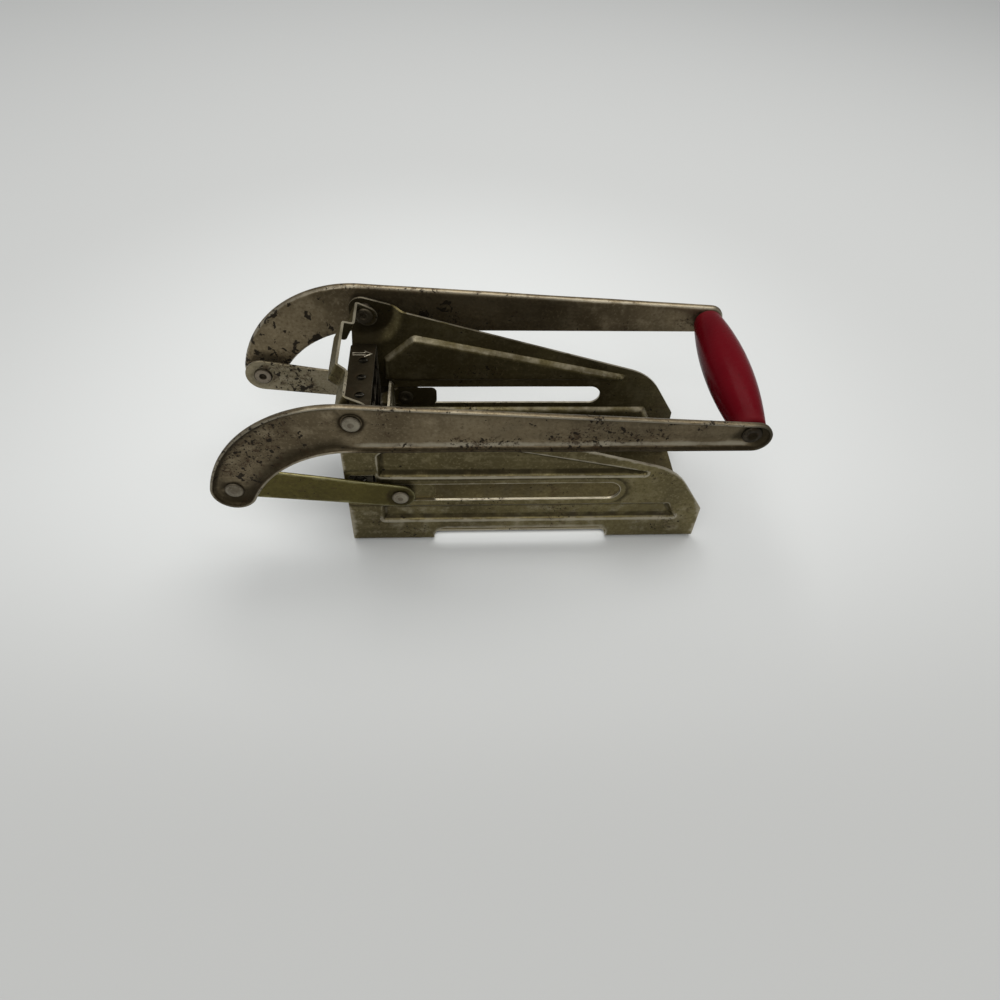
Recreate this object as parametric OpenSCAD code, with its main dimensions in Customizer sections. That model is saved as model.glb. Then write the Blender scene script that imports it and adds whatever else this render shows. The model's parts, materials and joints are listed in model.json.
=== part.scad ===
// Lever-operated french fry cutter, in millimetres.
// +X points from the cutting grid towards the handle, +Z is up, and the object is symmetric about Y = 0.
// "Near" pieces lie on the -Y side and "far" pieces on the +Y side.
// Side profiles are drawn in X-Z, with X counted from the front edge of the body.

/* [Sheet] */
// Thickness of the body, arm, keeper and push plate sheet
sheet = 1.2; // [0.8:0.1:1.6]
// Radial and axial gap of a pivot that turns
slip = 0.05; // [0.02:0.01:0.1]

/* [Body] */
// Length of the body
body_len = 174.2; // [165:0.1:190]
// Height of the sloping top edge where it meets the front edge
front_h = 95.8; // [92:0.1:105]
// Height of the rear edge where the rear slope starts
rear_h = 22.8; // [15:0.1:30]
// Distance from the front edge to the shoulder between the two slopes
shoulder_x = 157; // [150:0.1:162]
// Height of that shoulder
shoulder_z = 49.7; // [45:0.1:56]
// Radius of the shoulder
shoulder_r = 30; // [8:0.5:36]
// Radius of the rear corner
rear_r = 1.5; // [0.5:0.1:4]
// Radius of the front top corner
front_corner_r = 6; // [2:0.5:9]
// Radius of the bends between the floor and the sides, on the outside
bend_r = 2.4; // [1.8:0.1:4]
// Height of the bottom face above the ground, which is the depth of the foot dimples
foot_h = 0.8; // [0.5:0.1:1.5]
// Diameter of a foot dimple
foot_d = 10; // [6:0.5:12]
// Width of a foot dimple's sloping wall
foot_slope = 1.2; // [0.8:0.1:2]
// Distance of a foot dimple's centre from the end of the body
foot_end = 6; // [6:0.5:12]
// Distance of a foot dimple's centre from the outside of the side plate
foot_side = 7.4; // [7:0.1:12]
// Start of the arched notch between the feet
notch_x = 40.6; // [36:0.1:50]
// End of the arched notch
notch_end = 128.8; // [120:0.1:134]
// Height of the notch above the ground
notch_h = 9.6; // [7:0.1:12]
// Corner radius of the notch
notch_r = 6; // [2:0.5:7]
// Depth of the notch into the floor
notch_depth = 5.5; // [4:0.1:8]
// Width of the inward lips at the front edge that stop the cutting grid
lip_w = 2.2; // [2:0.1:3]
// Height of the top of those lips
lip_top = 62; // [50:0.5:66]

/* [Pressed panels] */
// Depth of the upper panel, pressed inward
panel_depth = 2.4; // [1.5:0.1:2.6]
// Front end of both pressed panels
panel_x = 15.2; // [14.8:0.1:18]
// Height of the lower edge of the upper panel
panel_low = 46.4; // [45.5:0.1:48]
// Height where the front edge of the upper panel turns back
panel_front_z = 61; // [56:0.5:64]
// Position of the peak of the upper panel
panel_peak_x = 31; // [29:0.1:36]
// Height of the peak of the upper panel
panel_peak_z = 75; // [70:0.1:76]
// Rear end of the upper panel
panel_end = 143; // [135:0.5:145]
// Height of the upper edge of the panel at its rear end
panel_end_z = 49.9; // [49.6:0.1:50.4]
// Corner radius of the pressed panels
panel_r = 1.6; // [1.3:0.1:1.6]
// Radius at the peak of the upper panel
panel_peak_r = 4; // [2:0.5:6]
// Radius where the front edge of the upper panel turns back
panel_front_r = 3; // [2:0.5:5]
// Depth of the lower channel, pressed inward
channel_depth = 2; // [1:0.1:2.5]
// Height of the lower edge of the channel
channel_low = 15.5; // [13:0.1:18]
// Height of the upper edge of the channel
channel_high = 27.4; // [24:0.1:28.5]
// Rear end of the channel at its lower edge
channel_end = 163.5; // [150:0.5:166]
// Rear end of the channel at its upper edge
channel_end_high = 157.5; // [148:0.5:160]

/* [Guide slot] */
// Height of the slot's centre line
slot_z = 36.3; // [36:0.1:37]
// Height of the slot opening
slot_h = 11.4; // [10.5:0.1:12]
// Rear end of the slot
slot_end = 131.2; // [130:0.1:140]
// Front end of the slot and of the entry window
window_x = 2.2; // [1.8:0.1:4]
// Length of the entry window
window_len = 12; // [8:0.1:12.4]
// Height of the top of the entry window
window_top = 48.3; // [44:0.1:52]

/* [Pivot boss] */
// Distance of the lever pivot from the front edge
pivot_x = 7.8; // [7.2:0.1:9]
// Depth of the lever pivot below the height of the front edge
pivot_drop = 8.6; // [8:0.1:10]
// Height of the boss pressed outward around the lever pivot
boss_h = 3.8; // [3:0.1:4.4]
// Radius of the flat top of the boss
boss_top_r = 13.2; // [10:0.1:15]
// Radius of the foot of the boss
boss_foot_r = 19.5; // [17:0.1:21]

/* [Lever] */
// Distance of the arm's web from the outer face of the side plate
arm_gap = 5.8; // [5.4:0.1:7]
// Width of the arm's outward flange, web included
flange_w = 3.7; // [3:0.1:5]
// Height of the arm's top edge above the pivot
arm_rise = 10.6; // [9:0.1:12]
// Depth of the arm's lower edge below the pivot
arm_drop = 15.3; // [13:0.1:16]
// Slope of the arm's top edge
arm_taper = 3.5; // [2:0.1:4]
// Rear end of the arm, from the front edge of the body
arm_end = 190.5; // [185:0.5:200]
// Distance of the hook pivot in front of the lever pivot
hook_reach = 56.4; // [54:0.1:58]
// Distance of the hook pivot below the lever pivot
hook_drop = 40; // [38:0.1:41]
// Radius of the arm's rounded hook end
hook_r = 10.3; // [9.5:0.1:11]
// Radius of the arm's outer bend
outer_r = 62.5; // [58:0.5:66]
// Radius of the arm's inner bend
inner_r = 51; // [46:0.5:54]

/* [Handle] */
// Distance of the rod from the rear end of the arms
rod_inset = 8.8; // [8:0.1:14]
// Height of the rod above the arms' lower edge
rod_rise = 8.3; // [7:0.1:9]
// Diameter of the rod
rod_d = 6; // [5:0.1:7]
// Diameter of the rod's peened ends
rod_head_d = 9.2; // [8:0.1:11]
// Height of the rod's peened ends
rod_head_h = 1.3; // [0.8:0.1:1.5]
// Diameter of the dish in a peened end
rod_dish_d = 2.6; // [2:0.1:4]
// Diameter of the grip at its ends
grip_end_d = 13.2; // [12:0.1:18]
// Diameter of the grip at its middle
grip_d = 21.8; // [20:0.1:25]
// Radius of the grip's end corners
grip_corner_r = 2.6; // [1:0.1:4]
// Gap between the grip and the arms
grip_gap = 0.4; // [0.2:0.1:1]

/* [Links] */
// Thickness of a link
link_t = 1.5; // [1:0.1:1.7]
// Gap between a link and the side plate
link_gap = 1.1; // [1.1:0.1:1.3]
// Radius of the link's end at the hook pivot
link_hook_r = 9.2; // [8:0.1:9.6]
// Radius of the link's end at the stud
link_stud_r = 6.9; // [6.6:0.1:8]

/* [Rivets] */
// Diameter of the lever pivot's shank in the arm
pivot_d = 6; // [5:0.1:6.6]
// Diameter of the lever pivot's shank in the boss and the keeper
pivot_tail_d = 4.8; // [4:0.1:5]
// Diameter of the lever pivot's clinched tail
pivot_clinch_d = 8.4; // [7:0.1:9.4]
// Diameter of the lever pivot's head
pivot_head_d = 8.4; // [8:0.1:10]
// Diameter of the washer between the arm and the boss
washer_d = 11; // [9:0.1:13]
// Diameter of the spacer between the boss and the keeper
spacer_d = 8; // [7:0.1:9]
// Diameter of the hook rivet's shank
hook_pin_d = 5.2; // [4.5:0.1:6]
// Diameter of the hook rivet's head
hook_head_d = 8.6; // [8:0.1:10]
// Diameter of the hook rivet's shoulder
hook_shoulder_d = 8; // [7:0.1:9]
// Diameter of the stud between the pusher and a link
stud_d = 5; // [4:0.1:5.6]
// Diameter of the stud's head
stud_head_d = 7.9; // [7:0.1:9]
// Height of the rivet heads
head_h = 1.5; // [1:0.1:1.5]
// Diameter of the clinched rivet tails
tail_d = 9.4; // [7:0.1:9.6]
// Height of the clinched rivet tails
tail_h = 0.9; // [0.6:0.05:0.9]
// Diameter of the hollow in a clinched tail
hollow_d = 3.2; // [2:0.1:3.4]

/* [Pusher] */
// Distance of the push plate's front face from the front edge, with the lever closed
push_x = 18.6; // [17.5:0.1:19]
// Distance of the stud from the front edge, with the lever closed
stud_x = 25.4; // [25:0.1:27]
// Half width of the push plate beside the pressed panels
push_half = 32.4; // [31:0.1:32.6]
// Height of the push plate's top edge
push_top = 58; // [54:0.5:62]
// Half width of the push plate's top edge
push_top_half = 20; // [18:0.5:24]
// Height where the push plate's sloping shoulders end
push_shoulder_z = 46; // [43:0.5:48]
// Radius of the push plate's upper corners
push_r = 3; // [1:0.5:5]
// Radius of the push plate's lower corners
push_low_r = 2; // [1:0.5:4]
// Radius of the corners of a wing's root
wing_r = 1; // [0.5:0.1:2]
// Gap between the push plate and the floor
push_floor_gap = 0.8; // [0.5:0.1:2]
// Rear end of the side wings
wing_end = 42; // [36:0.5:50]
// Height of a side wing
wing_h = 10.5; // [9:0.1:11]
// Gap between a wing and the side plate
wing_gap = 0.35; // [0.2:0.05:0.5]
// Width of a square pad
pad_w = 9.6; // [8:0.1:10.4]
// Height of the pads above the push plate
pad_h = 4.3; // [3:0.1:4.4]
// Diameter of the bush that runs in the slot
bush_d = 11; // [10:0.1:11.2]

/* [Cutting grid] */
// Pitch of the cells
cell = 13; // [12:0.1:13.2]
// Thickness of a blade
blade_t = 0.8; // [0.5:0.1:1]
// Length of the blade's ground edge
edge_len = 2; // [1:0.1:3]
// Thickness of the frame strip
frame_t = 1.4; // [1:0.1:1.6]
// Width of the frame
frame_w = 68; // [67.4:0.1:72]
// Gap between the frame and each side plate
frame_side_gap = 1.35; // [0.8:0.05:2]
// Gap between the frame and the lips at its front
lip_gap = 0.1; // [0.05:0.05:0.5]
// Distance of the blades inside the frame's front and rear edges
blade_inset = 0.2; // [0.1:0.1:1]
// Rear face of the frame, from the front edge of the body
frame_back = 12.5; // [12:0.1:13]
// Height of the top of the frame
frame_top = 71.7; // [70:0.1:72.5]
// Outer corner radius of the frame
frame_r = 2.4; // [1.8:0.1:4]
// Diameter of the holes that hold the blades' tabs
tab_hole_d = 4.4; // [3.8:0.1:5]
// Width of a blade's tab
tab_w = 3.4; // [2.5:0.1:3.6]
// Depth of the tab's end below the strip's outer face
tab_recess = 0.5; // [0.1:0.1:1]

// Length of the arrow
arrow_len = 8.2; // [5:0.1:9]
// Length of the arrow's head
arrow_head = 3; // [2:0.1:4]
// Width of the arrow's head
arrow_w = 3.4; // [2:0.1:5]
// Width of the arrow's shaft
arrow_shaft = 1.4; // [1:0.1:2]
// Width of the arrow's engraved line
arrow_line = 0.35; // [0.2:0.05:0.5]
// Depth of the arrow's engraved line
arrow_depth = 0.25; // [0.1:0.05:0.5]
// Distance of the arrow beyond the outer cell line
arrow_side = 1; // [0:0.5:4]

/* [Keeper] */
// Width of the keeper strip
keeper_w = 10; // [8:0.1:11]
// Distance of the strip's outer face from the pivot, at the sides
keeper_side_r = 6.6; // [6.2:0.1:7.4]
// Distance of the strip's outer face from the pivot, in the middle
keeper_mid_r = 11.6; // [9:0.1:11.8]
// Half width of the middle section
keeper_mid_half = 17.7; // [12:0.1:24]
// Slant of the step between the sections
keeper_slant = 1.8; // [0.5:0.1:4]
// Length of the legs behind the pivot
keeper_leg = 6.5; // [5.5:0.1:8]
// Angle of the keeper's outward direction above the horizontal, towards the front
keeper_tilt = 27; // [20:1:35]
// Gap between a keeper leg and the side plate
keeper_gap = 0.1; // [0.05:0.05:0.5]

/* [Hidden] */

$fn = 72;
cut = 1;                 // overshoot of a cutting shape past the face it opens
cells = 5;               // cells of the grid each way
arc_steps = 10;          // points on a rounded corner
bend_steps = 26;         // points on the arm's long bends
head_rim = 0.35;         // share of a rivet head's height that its straight rim takes
nickel = [0.47, 0.44, 0.38];
dark_nickel = [0.36, 0.34, 0.29];
bright_steel = [0.62, 0.60, 0.56];
red_paint = [0.55, 0.05, 0.07];

// Distances from the mid-plane
side_in = frame_w / 2 + frame_side_gap;
side_out = side_in + sheet;
boss_out = side_out + boss_h;
boss_in = boss_out - sheet;
web_in = side_out + arm_gap;
web_out = web_in + sheet;
flange_out = web_in + flange_w;
link_in = side_out + link_gap;
link_out = link_in + link_t;
wing_out = side_in - wing_gap;
wing_in = wing_out - sheet;
leg_out = side_in - keeper_gap;
leg_in = leg_out - sheet;

// Heights and places in the side view
floor_z = foot_h + sheet;
pivot_z = front_h - pivot_drop;
pivot = [pivot_x, pivot_z];
hook = pivot - [hook_reach, hook_drop];
stud = [stud_x, slot_z];
arm_low = pivot_z - arm_drop;
rod = [arm_end - rod_inset, arm_low + rod_rise];
frame_front = sheet + lip_gap;
blade_front = frame_front + blade_inset;
blade_back = frame_back - blade_inset;
blade_mid = (blade_front + blade_back) / 2;
frame_bottom = floor_z + slip;
first_line = -(cells / 2 - 1) * cell;

// Arm outline: the outer bend touches the top edge and the hook end, and so does the inner bend below
along = [cos(arm_taper), -sin(arm_taper)];
up = [sin(arm_taper), cos(arm_taper)];
top_offset = arm_rise * cos(arm_taper);
hook_along = (hook - pivot) * along;
hook_up = (hook - pivot) * up;
outer_drop = top_offset - outer_r;
outer_shift = hook_along + sqrt(pow(outer_r - hook_r, 2) - pow(outer_drop - hook_up, 2));
outer_c = pivot + along * outer_shift + up * outer_drop;
inner_cz = arm_low - inner_r;
inner_c = [hook.x + sqrt(pow(inner_r + hook_r, 2) - pow(inner_cz - hook.y, 2)), inner_cz];
end_gap = top_offset - up.x * (arm_end - pivot.x) - up.y * (arm_low - pivot.y);
end_r = end_gap / (1 + up.y - up.x);
end_c = [arm_end - end_r, arm_low + end_r];

// The origin lies under the middle of the whole length
front_x = -(hook.x - hook_r + max(arm_end, rod.x + grip_d / 2)) / 2;

function direction(v) = atan2(v.y, v.x);

function arc_points(c, r, a0, a1, n = arc_steps) =
  [for (i = [0:n]) let (a = a0 + (a1 - a0) * i / n) c + r * [cos(a), sin(a)]];

// Corner b of a polygon replaced by an arc of radius r that touches both edges
function corner(a, b, c, r) =
  let (
    u = (a - b) / norm(a - b),
    w = (c - b) / norm(c - b),
    half = acos(u * w) / 2,
    centre = b + (u + w) / norm(u + w) * r / sin(half),
    p = b + u * r / tan(half) - centre,
    turn = cross(p, b + w * r / tan(half) - centre) > 0 ? 180 - 2 * half : 2 * half - 180
  )
  arc_points(centre, r, direction(p), direction(p) + turn);

// Polygon from [x, y, corner radius] entries, where radius 0 keeps the corner sharp
function rounded(p) =
  [for (i = [0:len(p) - 1])
    let (
      b = [p[i].x, p[i].y],
      q = p[(i + len(p) - 1) % len(p)],
      s = p[(i + 1) % len(p)]
    )
    each (p[i][2] > 0 ? corner([q.x, q.y], b, [s.x, s.y], p[i][2]) : [b])];

function left_normal(a, b) = [a.y - b.y, b.x - a.x] / norm(b - a);

// Counter-clockwise polygon with every edge moved inward by d
function inset(p, d) =
  [for (i = [0:len(p) - 1])
    let (
      m = left_normal(p[(i + len(p) - 1) % len(p)], p[i]),
      n = left_normal(p[i], p[(i + 1) % len(p)])
    )
    p[i] + d * (m + n) / (1 + m * n)];

// Counter-clockwise rounded rectangle from its lowest and highest corners
function box_outline(lo, hi, r) =
  rounded([[lo.x, lo.y, r], [hi.x, lo.y, r], [hi.x, hi.y, r], [lo.x, hi.y, r]]);

// Outline around two circles, as a belt runs around two pulleys
function belt(c1, r1, c2, r2) =
  let (
    axis = direction(c2 - c1),
    open = acos((r1 - r2) / norm(c2 - c1))
  )
  concat(
    arc_points(c2, r2, axis - open, axis + open, 2 * arc_steps),
    arc_points(c1, r1, axis + open, axis + 360 - open, 2 * arc_steps));

function arm_outline(d) = concat(
  arc_points(end_c, end_r - d, -90, direction(up), 2 * arc_steps),
  arc_points(outer_c, outer_r - d, direction(up), direction(hook - outer_c), bend_steps),
  arc_points(hook, hook_r - d, direction(hook - outer_c), 360 + direction(inner_c - hook), 2 * arc_steps),
  arc_points(inner_c, inner_r + d, direction(hook - inner_c), 90, bend_steps));

side_outline = rounded([
  [0, foot_h, 0],
  [body_len, foot_h, 0],
  [body_len, rear_h, rear_r],
  [shoulder_x, shoulder_z, shoulder_r],
  [0, front_h, front_corner_r]
]);
notch_outline = rounded([
  [notch_x, -cut, 0],
  [notch_end, -cut, 0],
  [notch_end, notch_h, notch_r],
  [notch_x, notch_h, notch_r]
]);
panel_outline = rounded([
  [panel_x, panel_low, panel_r],
  [panel_end, panel_low, panel_r],
  [panel_end, panel_end_z, panel_r],
  [panel_peak_x, panel_peak_z, panel_peak_r],
  [panel_x, panel_front_z, panel_front_r]
]);
channel_outline = rounded([
  [panel_x, channel_low, panel_r],
  [channel_end, channel_low, panel_r],
  [channel_end_high, channel_high, panel_r],
  [panel_x, channel_high, panel_r]
]);

// Solid between two distances from the mid-plane, on the near side
module slab(points, inner, outer) {
  translate([0, -inner, 0])
    rotate([90, 0, 0])
      linear_extrude(outer - inner)
        polygon(points);
}

// Round bar along Y between two distances from the mid-plane, on the near side
module bar(place, d, inner, outer) {
  translate([place.x, -inner, place.y])
    rotate([90, 0, 0])
      cylinder(d = d, h = outer - inner);
}

// Turned shape around a Y axis: profile x is the radius and profile y the distance outward from start
module turned(place, start, profile) {
  translate([place.x, -start, place.y])
    rotate([90, 0, 0])
      rotate_extrude()
        polygon(profile);
}

// Solid with a Y-Z outline between two X positions
module plate(points, x0, x1) {
  translate([x0, 0, 0])
    rotate([90, 0, 90])
      linear_extrude(x1 - x0)
        polygon(points);
}

module both_sides() {
  children();
  mirror([0, 1, 0]) children();
}

module from_front() {
  translate([front_x, 0, 0]) children();
}

module far_side() {
  mirror([0, 1, 0]) children();
}

// Half section of a low domed head on a straight rim
function domed_head(r, h) =
  let (rim = head_rim * h)
  concat([[0, 0]], [[r, 0]],
    [for (i = [0:arc_steps]) let (a = i * 90 / arc_steps) [r * cos(a), rim + (h - rim) * sin(a)]]);

// Half section of a clinched ring with a hollow in its middle
function clinch(r, hole, h) = [
  [0, 0], [r, 0], [r - 0.3 * h, 0.7 * h], [r - h, h], [hole + 0.5 * h, h], [hole, 0.6 * h], [hole, 0.3 * h],
  [0, 0.3 * h]
];

module pressed_boss() {
  intersection() {
    slab(side_outline, side_in - cut, boss_out + cut);
    turned(pivot, side_out, [
      [0, boss_h], [0, boss_h - sheet], [boss_top_r, boss_h - sheet],
      [boss_foot_r, -sheet], [boss_foot_r, 0], [boss_top_r, boss_h]
    ]);
  }
}

module pocket(outline, depth) {
  slab(outline, side_in - depth, side_out);
}

module pocket_hollow(outline, depth) {
  slab(inset(outline, sheet), side_out - depth, side_out + cut);
}

module side_plate() {
  difference() {
    union() {
      difference() {
        slab(side_outline, side_in, side_out);
        bar(pivot, 2 * boss_foot_r, side_in - cut, side_out + cut);
      }
      pocket(panel_outline, panel_depth);
      pocket(channel_outline, channel_depth);
    }
    pocket_hollow(panel_outline, panel_depth);
    pocket_hollow(channel_outline, channel_depth);
    slot_and_window();
    translate([-cut, -side_out - cut, -cut])
      cube([body_len + 2 * cut, 2 * sheet + 2 * cut, foot_h + bend_r + cut]);
  }
  difference() {
    pressed_boss();
    bar(pivot, pivot_tail_d, boss_in - cut, boss_out + cut);
  }
  // Lip turned inward at the front edge
  translate([0, -side_in, floor_z])
    cube([sheet, lip_w, lip_top - floor_z]);
}

module slot_and_window() {
  r = slot_h / 2;
  slot_back = slot_end - r;
  translate([window_x, -side_out - cut, slot_z - r])
    cube([slot_back - window_x, sheet + 2 * cut, slot_h]);
  bar([slot_back, slot_z], slot_h, side_in - cut, side_out + cut);
  translate([window_x, -side_out - cut, slot_z - r])
    cube([window_len, sheet + 2 * cut, window_top - slot_z + r]);
}

// Floor with its rounded bends, up to where the side plates start
module floor_channel() {
  wall_top = foot_h + bend_r;
  spare = 2 * sheet;
  outer = rounded([
    [-side_out, foot_h, bend_r], [side_out, foot_h, bend_r],
    [side_out, wall_top + spare, 0], [-side_out, wall_top + spare, 0]
  ]);
  difference() {
    plate(outer, 0, body_len);
    plate(inset(outer, sheet), -cut, body_len + cut);
    translate([-cut, -side_out - cut, wall_top])
      cube([body_len + 2 * cut, 2 * (side_out + cut), spare + cut]);
  }
}

module foot_dimple() {
  dish_r = foot_d / 2;
  rotate_extrude()
    polygon([
      [0, 0], [dish_r - foot_slope, 0], [dish_r, foot_h], [dish_r, foot_h + sheet],
      [dish_r - foot_slope, sheet], [0, sheet]
    ]);
}

module body_shell() {
  color(nickel)
    from_front() {
      difference() {
        union() {
          floor_channel();
          both_sides() side_plate();
        }
        both_sides()
          slab(notch_outline, side_out - notch_depth, side_out + cut);
        foot_places()
          translate([0, 0, -cut])
            cylinder(d = foot_d, h = foot_h + sheet + 2 * cut);
      }
      foot_places() foot_dimple();
    }
}

module foot_places() {
  both_sides()
    for (x = [foot_end, body_len - foot_end])
      translate([x, side_out - foot_side, 0])
        children();
}

module pivot_rivet() {
  color(bright_steel)
    from_front() {
      turned(pivot, web_out + slip, domed_head(pivot_head_d / 2, head_h));
      bar(pivot, pivot_d, boss_out, web_out + slip);
      bar(pivot, pivot_tail_d, leg_in - slip, boss_out);
      clinched_tail(pivot, leg_in - slip, pivot_clinch_d / 2);
    }
}

// Clinched tail on the inner face of whatever the rivet holds
module clinched_tail(place, face, r) {
  translate([place.x, -face, place.y])
    rotate([-90, 0, 0])
      rotate_extrude()
        polygon(clinch(r, hollow_d / 2, tail_h));
}

module pivot_washer() {
  color(dark_nickel)
    from_front()
      difference() {
        bar(pivot, washer_d, boss_out, web_in - slip);
        bar(pivot, pivot_d, boss_out - cut, web_in + cut);
      }
}

module keeper_spacer() {
  color(dark_nickel)
    from_front()
      difference() {
        bar(pivot, spacer_d, leg_out + slip, boss_in);
        bar(pivot, pivot_tail_d, leg_out - cut, boss_in + cut);
      }
}

// Outline of the keeper seen along its width: the step between the side and middle sections slants
keeper_hat = [
  [leg_out, 0], [leg_out, keeper_side_r], [keeper_mid_half, keeper_side_r],
  [keeper_mid_half - keeper_slant, keeper_mid_r], [keeper_slant - keeper_mid_half, keeper_mid_r],
  [-keeper_mid_half, keeper_side_r], [-leg_out, keeper_side_r], [-leg_out, 0]
];

module keeper_strip() {
  mirror([1, -1, 0])
    translate([0, 0, -keeper_w / 2])
      linear_extrude(keeper_w)
        difference() {
          polygon(keeper_hat);
          polygon(inset(keeper_hat, sheet));
          translate([-leg_in, -cut])
            square([2 * leg_in, keeper_side_r / 2 + cut]);
        }
}

module cutter_keeper() {
  leg_outline = concat(
    [[keeper_side_r, keeper_w / 2], [-keeper_leg + keeper_w / 2, keeper_w / 2]],
    arc_points([-keeper_leg + keeper_w / 2, 0], keeper_w / 2, 90, 270, 2 * arc_steps),
    [[keeper_side_r, -keeper_w / 2]]);
  color(nickel)
    from_front()
      translate([pivot.x, 0, pivot.y])
        rotate([0, keeper_tilt - 180, 0])
          difference() {
            union() {
              keeper_strip();
              both_sides()
                slab(leg_outline, leg_in, leg_out);
            }
            both_sides()
              bar([0, 0], pivot_tail_d + 2 * slip, leg_in - cut, leg_out + cut);
          }
}

module lever_arm() {
  color(nickel)
    from_front()
      difference() {
        slab(arm_outline(0), web_in, flange_out);
        slab(arm_outline(sheet), web_out, flange_out + cut);
        bar(pivot, pivot_d + 2 * slip, web_in - cut, web_out + cut);
        bar(hook, hook_pin_d, web_in - cut, web_out + cut);
        bar(rod, rod_d, web_in - cut, web_out + cut);
      }
}

module handle_rod() {
  color(dark_nickel)
    from_front() {
      translate([rod.x, web_out, rod.y])
        rotate([90, 0, 0])
          cylinder(d = rod_d, h = 2 * web_out);
      both_sides()
        turned(rod, web_out, clinch(rod_head_d / 2, rod_dish_d / 2, rod_head_h));
    }
}

// Grip radius at a share t of its half length
function grip_radius(t) = (grip_end_d + (grip_d - grip_end_d) * (1 - t * t)) / 2;

module handle_grip() {
  half = web_in - grip_gap;
  body_half = half - grip_corner_r;
  bore_r = rod_d / 2 + slip;
  steps = 24;
  corner_c = grip_radius(body_half / half) - grip_corner_r;
  profile = concat(
    [[bore_r, -half]],
    [for (i = [0:5]) [corner_c + grip_corner_r * sin(i * 15), -body_half - grip_corner_r * cos(i * 15)]],
    [for (i = [-steps / 2:steps / 2]) let (y = i * 2 * body_half / steps) [grip_radius(y / half), y]],
    [for (i = [5:-1:0]) [corner_c + grip_corner_r * sin(i * 15), body_half + grip_corner_r * cos(i * 15)]],
    [[bore_r, half]]);
  color(red_paint)
    from_front()
      translate([rod.x, 0, rod.y])
        rotate([90, 0, 0])
          rotate_extrude()
            polygon(profile);
}

module hook_rivet() {
  color(bright_steel)
    from_front() {
      turned(hook, web_out, domed_head(hook_head_d / 2, head_h));
      bar(hook, hook_pin_d, web_in, web_out);
      bar(hook, hook_shoulder_d, link_out + slip, web_in);
    }
}

module hook_rivet_tail() {
  color(dark_nickel)
    from_front() {
      bar(hook, hook_pin_d, link_in, link_out);
      clinched_tail(hook, link_in, tail_d / 2);
    }
}

module link() {
  color(nickel)
    from_front()
      difference() {
        slab(belt(stud, link_stud_r, hook, link_hook_r), link_in, link_out);
        bar(stud, stud_d + 2 * slip, link_in - cut, link_out + cut);
        bar(hook, hook_pin_d, link_in - cut, link_out + cut);
      }
}

module link_stud() {
  color(bright_steel)
    from_front() {
      turned(stud, link_out + slip, domed_head(stud_head_d / 2, head_h));
      bar(stud, stud_d, wing_in, link_out + slip);
      clinched_tail(stud, wing_in, stud_head_d / 2);
    }
}

module slot_bush() {
  color(dark_nickel)
    from_front()
      difference() {
        bar(stud, bush_d, wing_out, link_in - slip);
        bar(stud, stud_d, wing_out - cut, link_in + cut);
      }
}

// Rows and columns of pads face the cells that the push plate covers
function pad_fits(y, z) =
  let (
    shoulder = (push_half - push_top_half) / (push_top - push_shoulder_z),
    half_width = z + pad_w / 2 < push_shoulder_z ? push_half : push_top_half + (push_top - z) * shoulder
  )
  z + pad_w / 2 < push_top && abs(y) + pad_w / 2 < half_width;

module pad_places() {
  for (i = [0:cells - 1], j = [0:cells - 1]) {
    y = first_line + (i - 0.5) * cell;
    z = slot_z + first_line + (j - 0.5) * cell;
    if (pad_fits(y, z))
      translate([0, y, z])
        children();
  }
}

module push_plate() {
  wing_z = slot_z - wing_h / 2;
  low = floor_z + push_floor_gap;
  half_outline = [
    [push_half, low, push_low_r], [push_half, wing_z, 0], [wing_out, wing_z, wing_r],
    [wing_out, wing_z + wing_h, wing_r], [push_half, wing_z + wing_h, 0],
    [push_half, push_shoulder_z, push_r], [push_top_half, push_top, push_r]
  ];
  other_half = [for (i = [len(half_outline) - 1:-1:0])
    [-half_outline[i].x, half_outline[i].y, half_outline[i][2]]];
  color(nickel)
    from_front()
      difference() {
        union() {
          plate(rounded(concat(half_outline, other_half)), push_x, push_x + sheet);
          pad_places()
            translate([push_x - pad_h, -pad_w / 2, -pad_w / 2])
              cube([pad_h, pad_w, pad_w]);
          both_sides()
            translate([push_x, -wing_out, wing_z])
              cube([wing_end - push_x, sheet, wing_h]);
        }
        pad_places()
          translate([push_x - pad_h + sheet, sheet - pad_w / 2, sheet - pad_w / 2])
            cube([pad_h + cut, pad_w - 2 * sheet, pad_w - 2 * sheet]);
        both_sides()
          bar(stud, stud_d, wing_in - cut, wing_out + cut);
      }
}

// Outline arrow on the frame's top strip, pointing towards the push plate
arrow_points = [
  [0, -arrow_shaft / 2], [arrow_len - arrow_head, -arrow_shaft / 2], [arrow_len - arrow_head, -arrow_w / 2],
  [arrow_len, 0], [arrow_len - arrow_head, arrow_w / 2], [arrow_len - arrow_head, arrow_shaft / 2],
  [0, arrow_shaft / 2]
];

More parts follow.
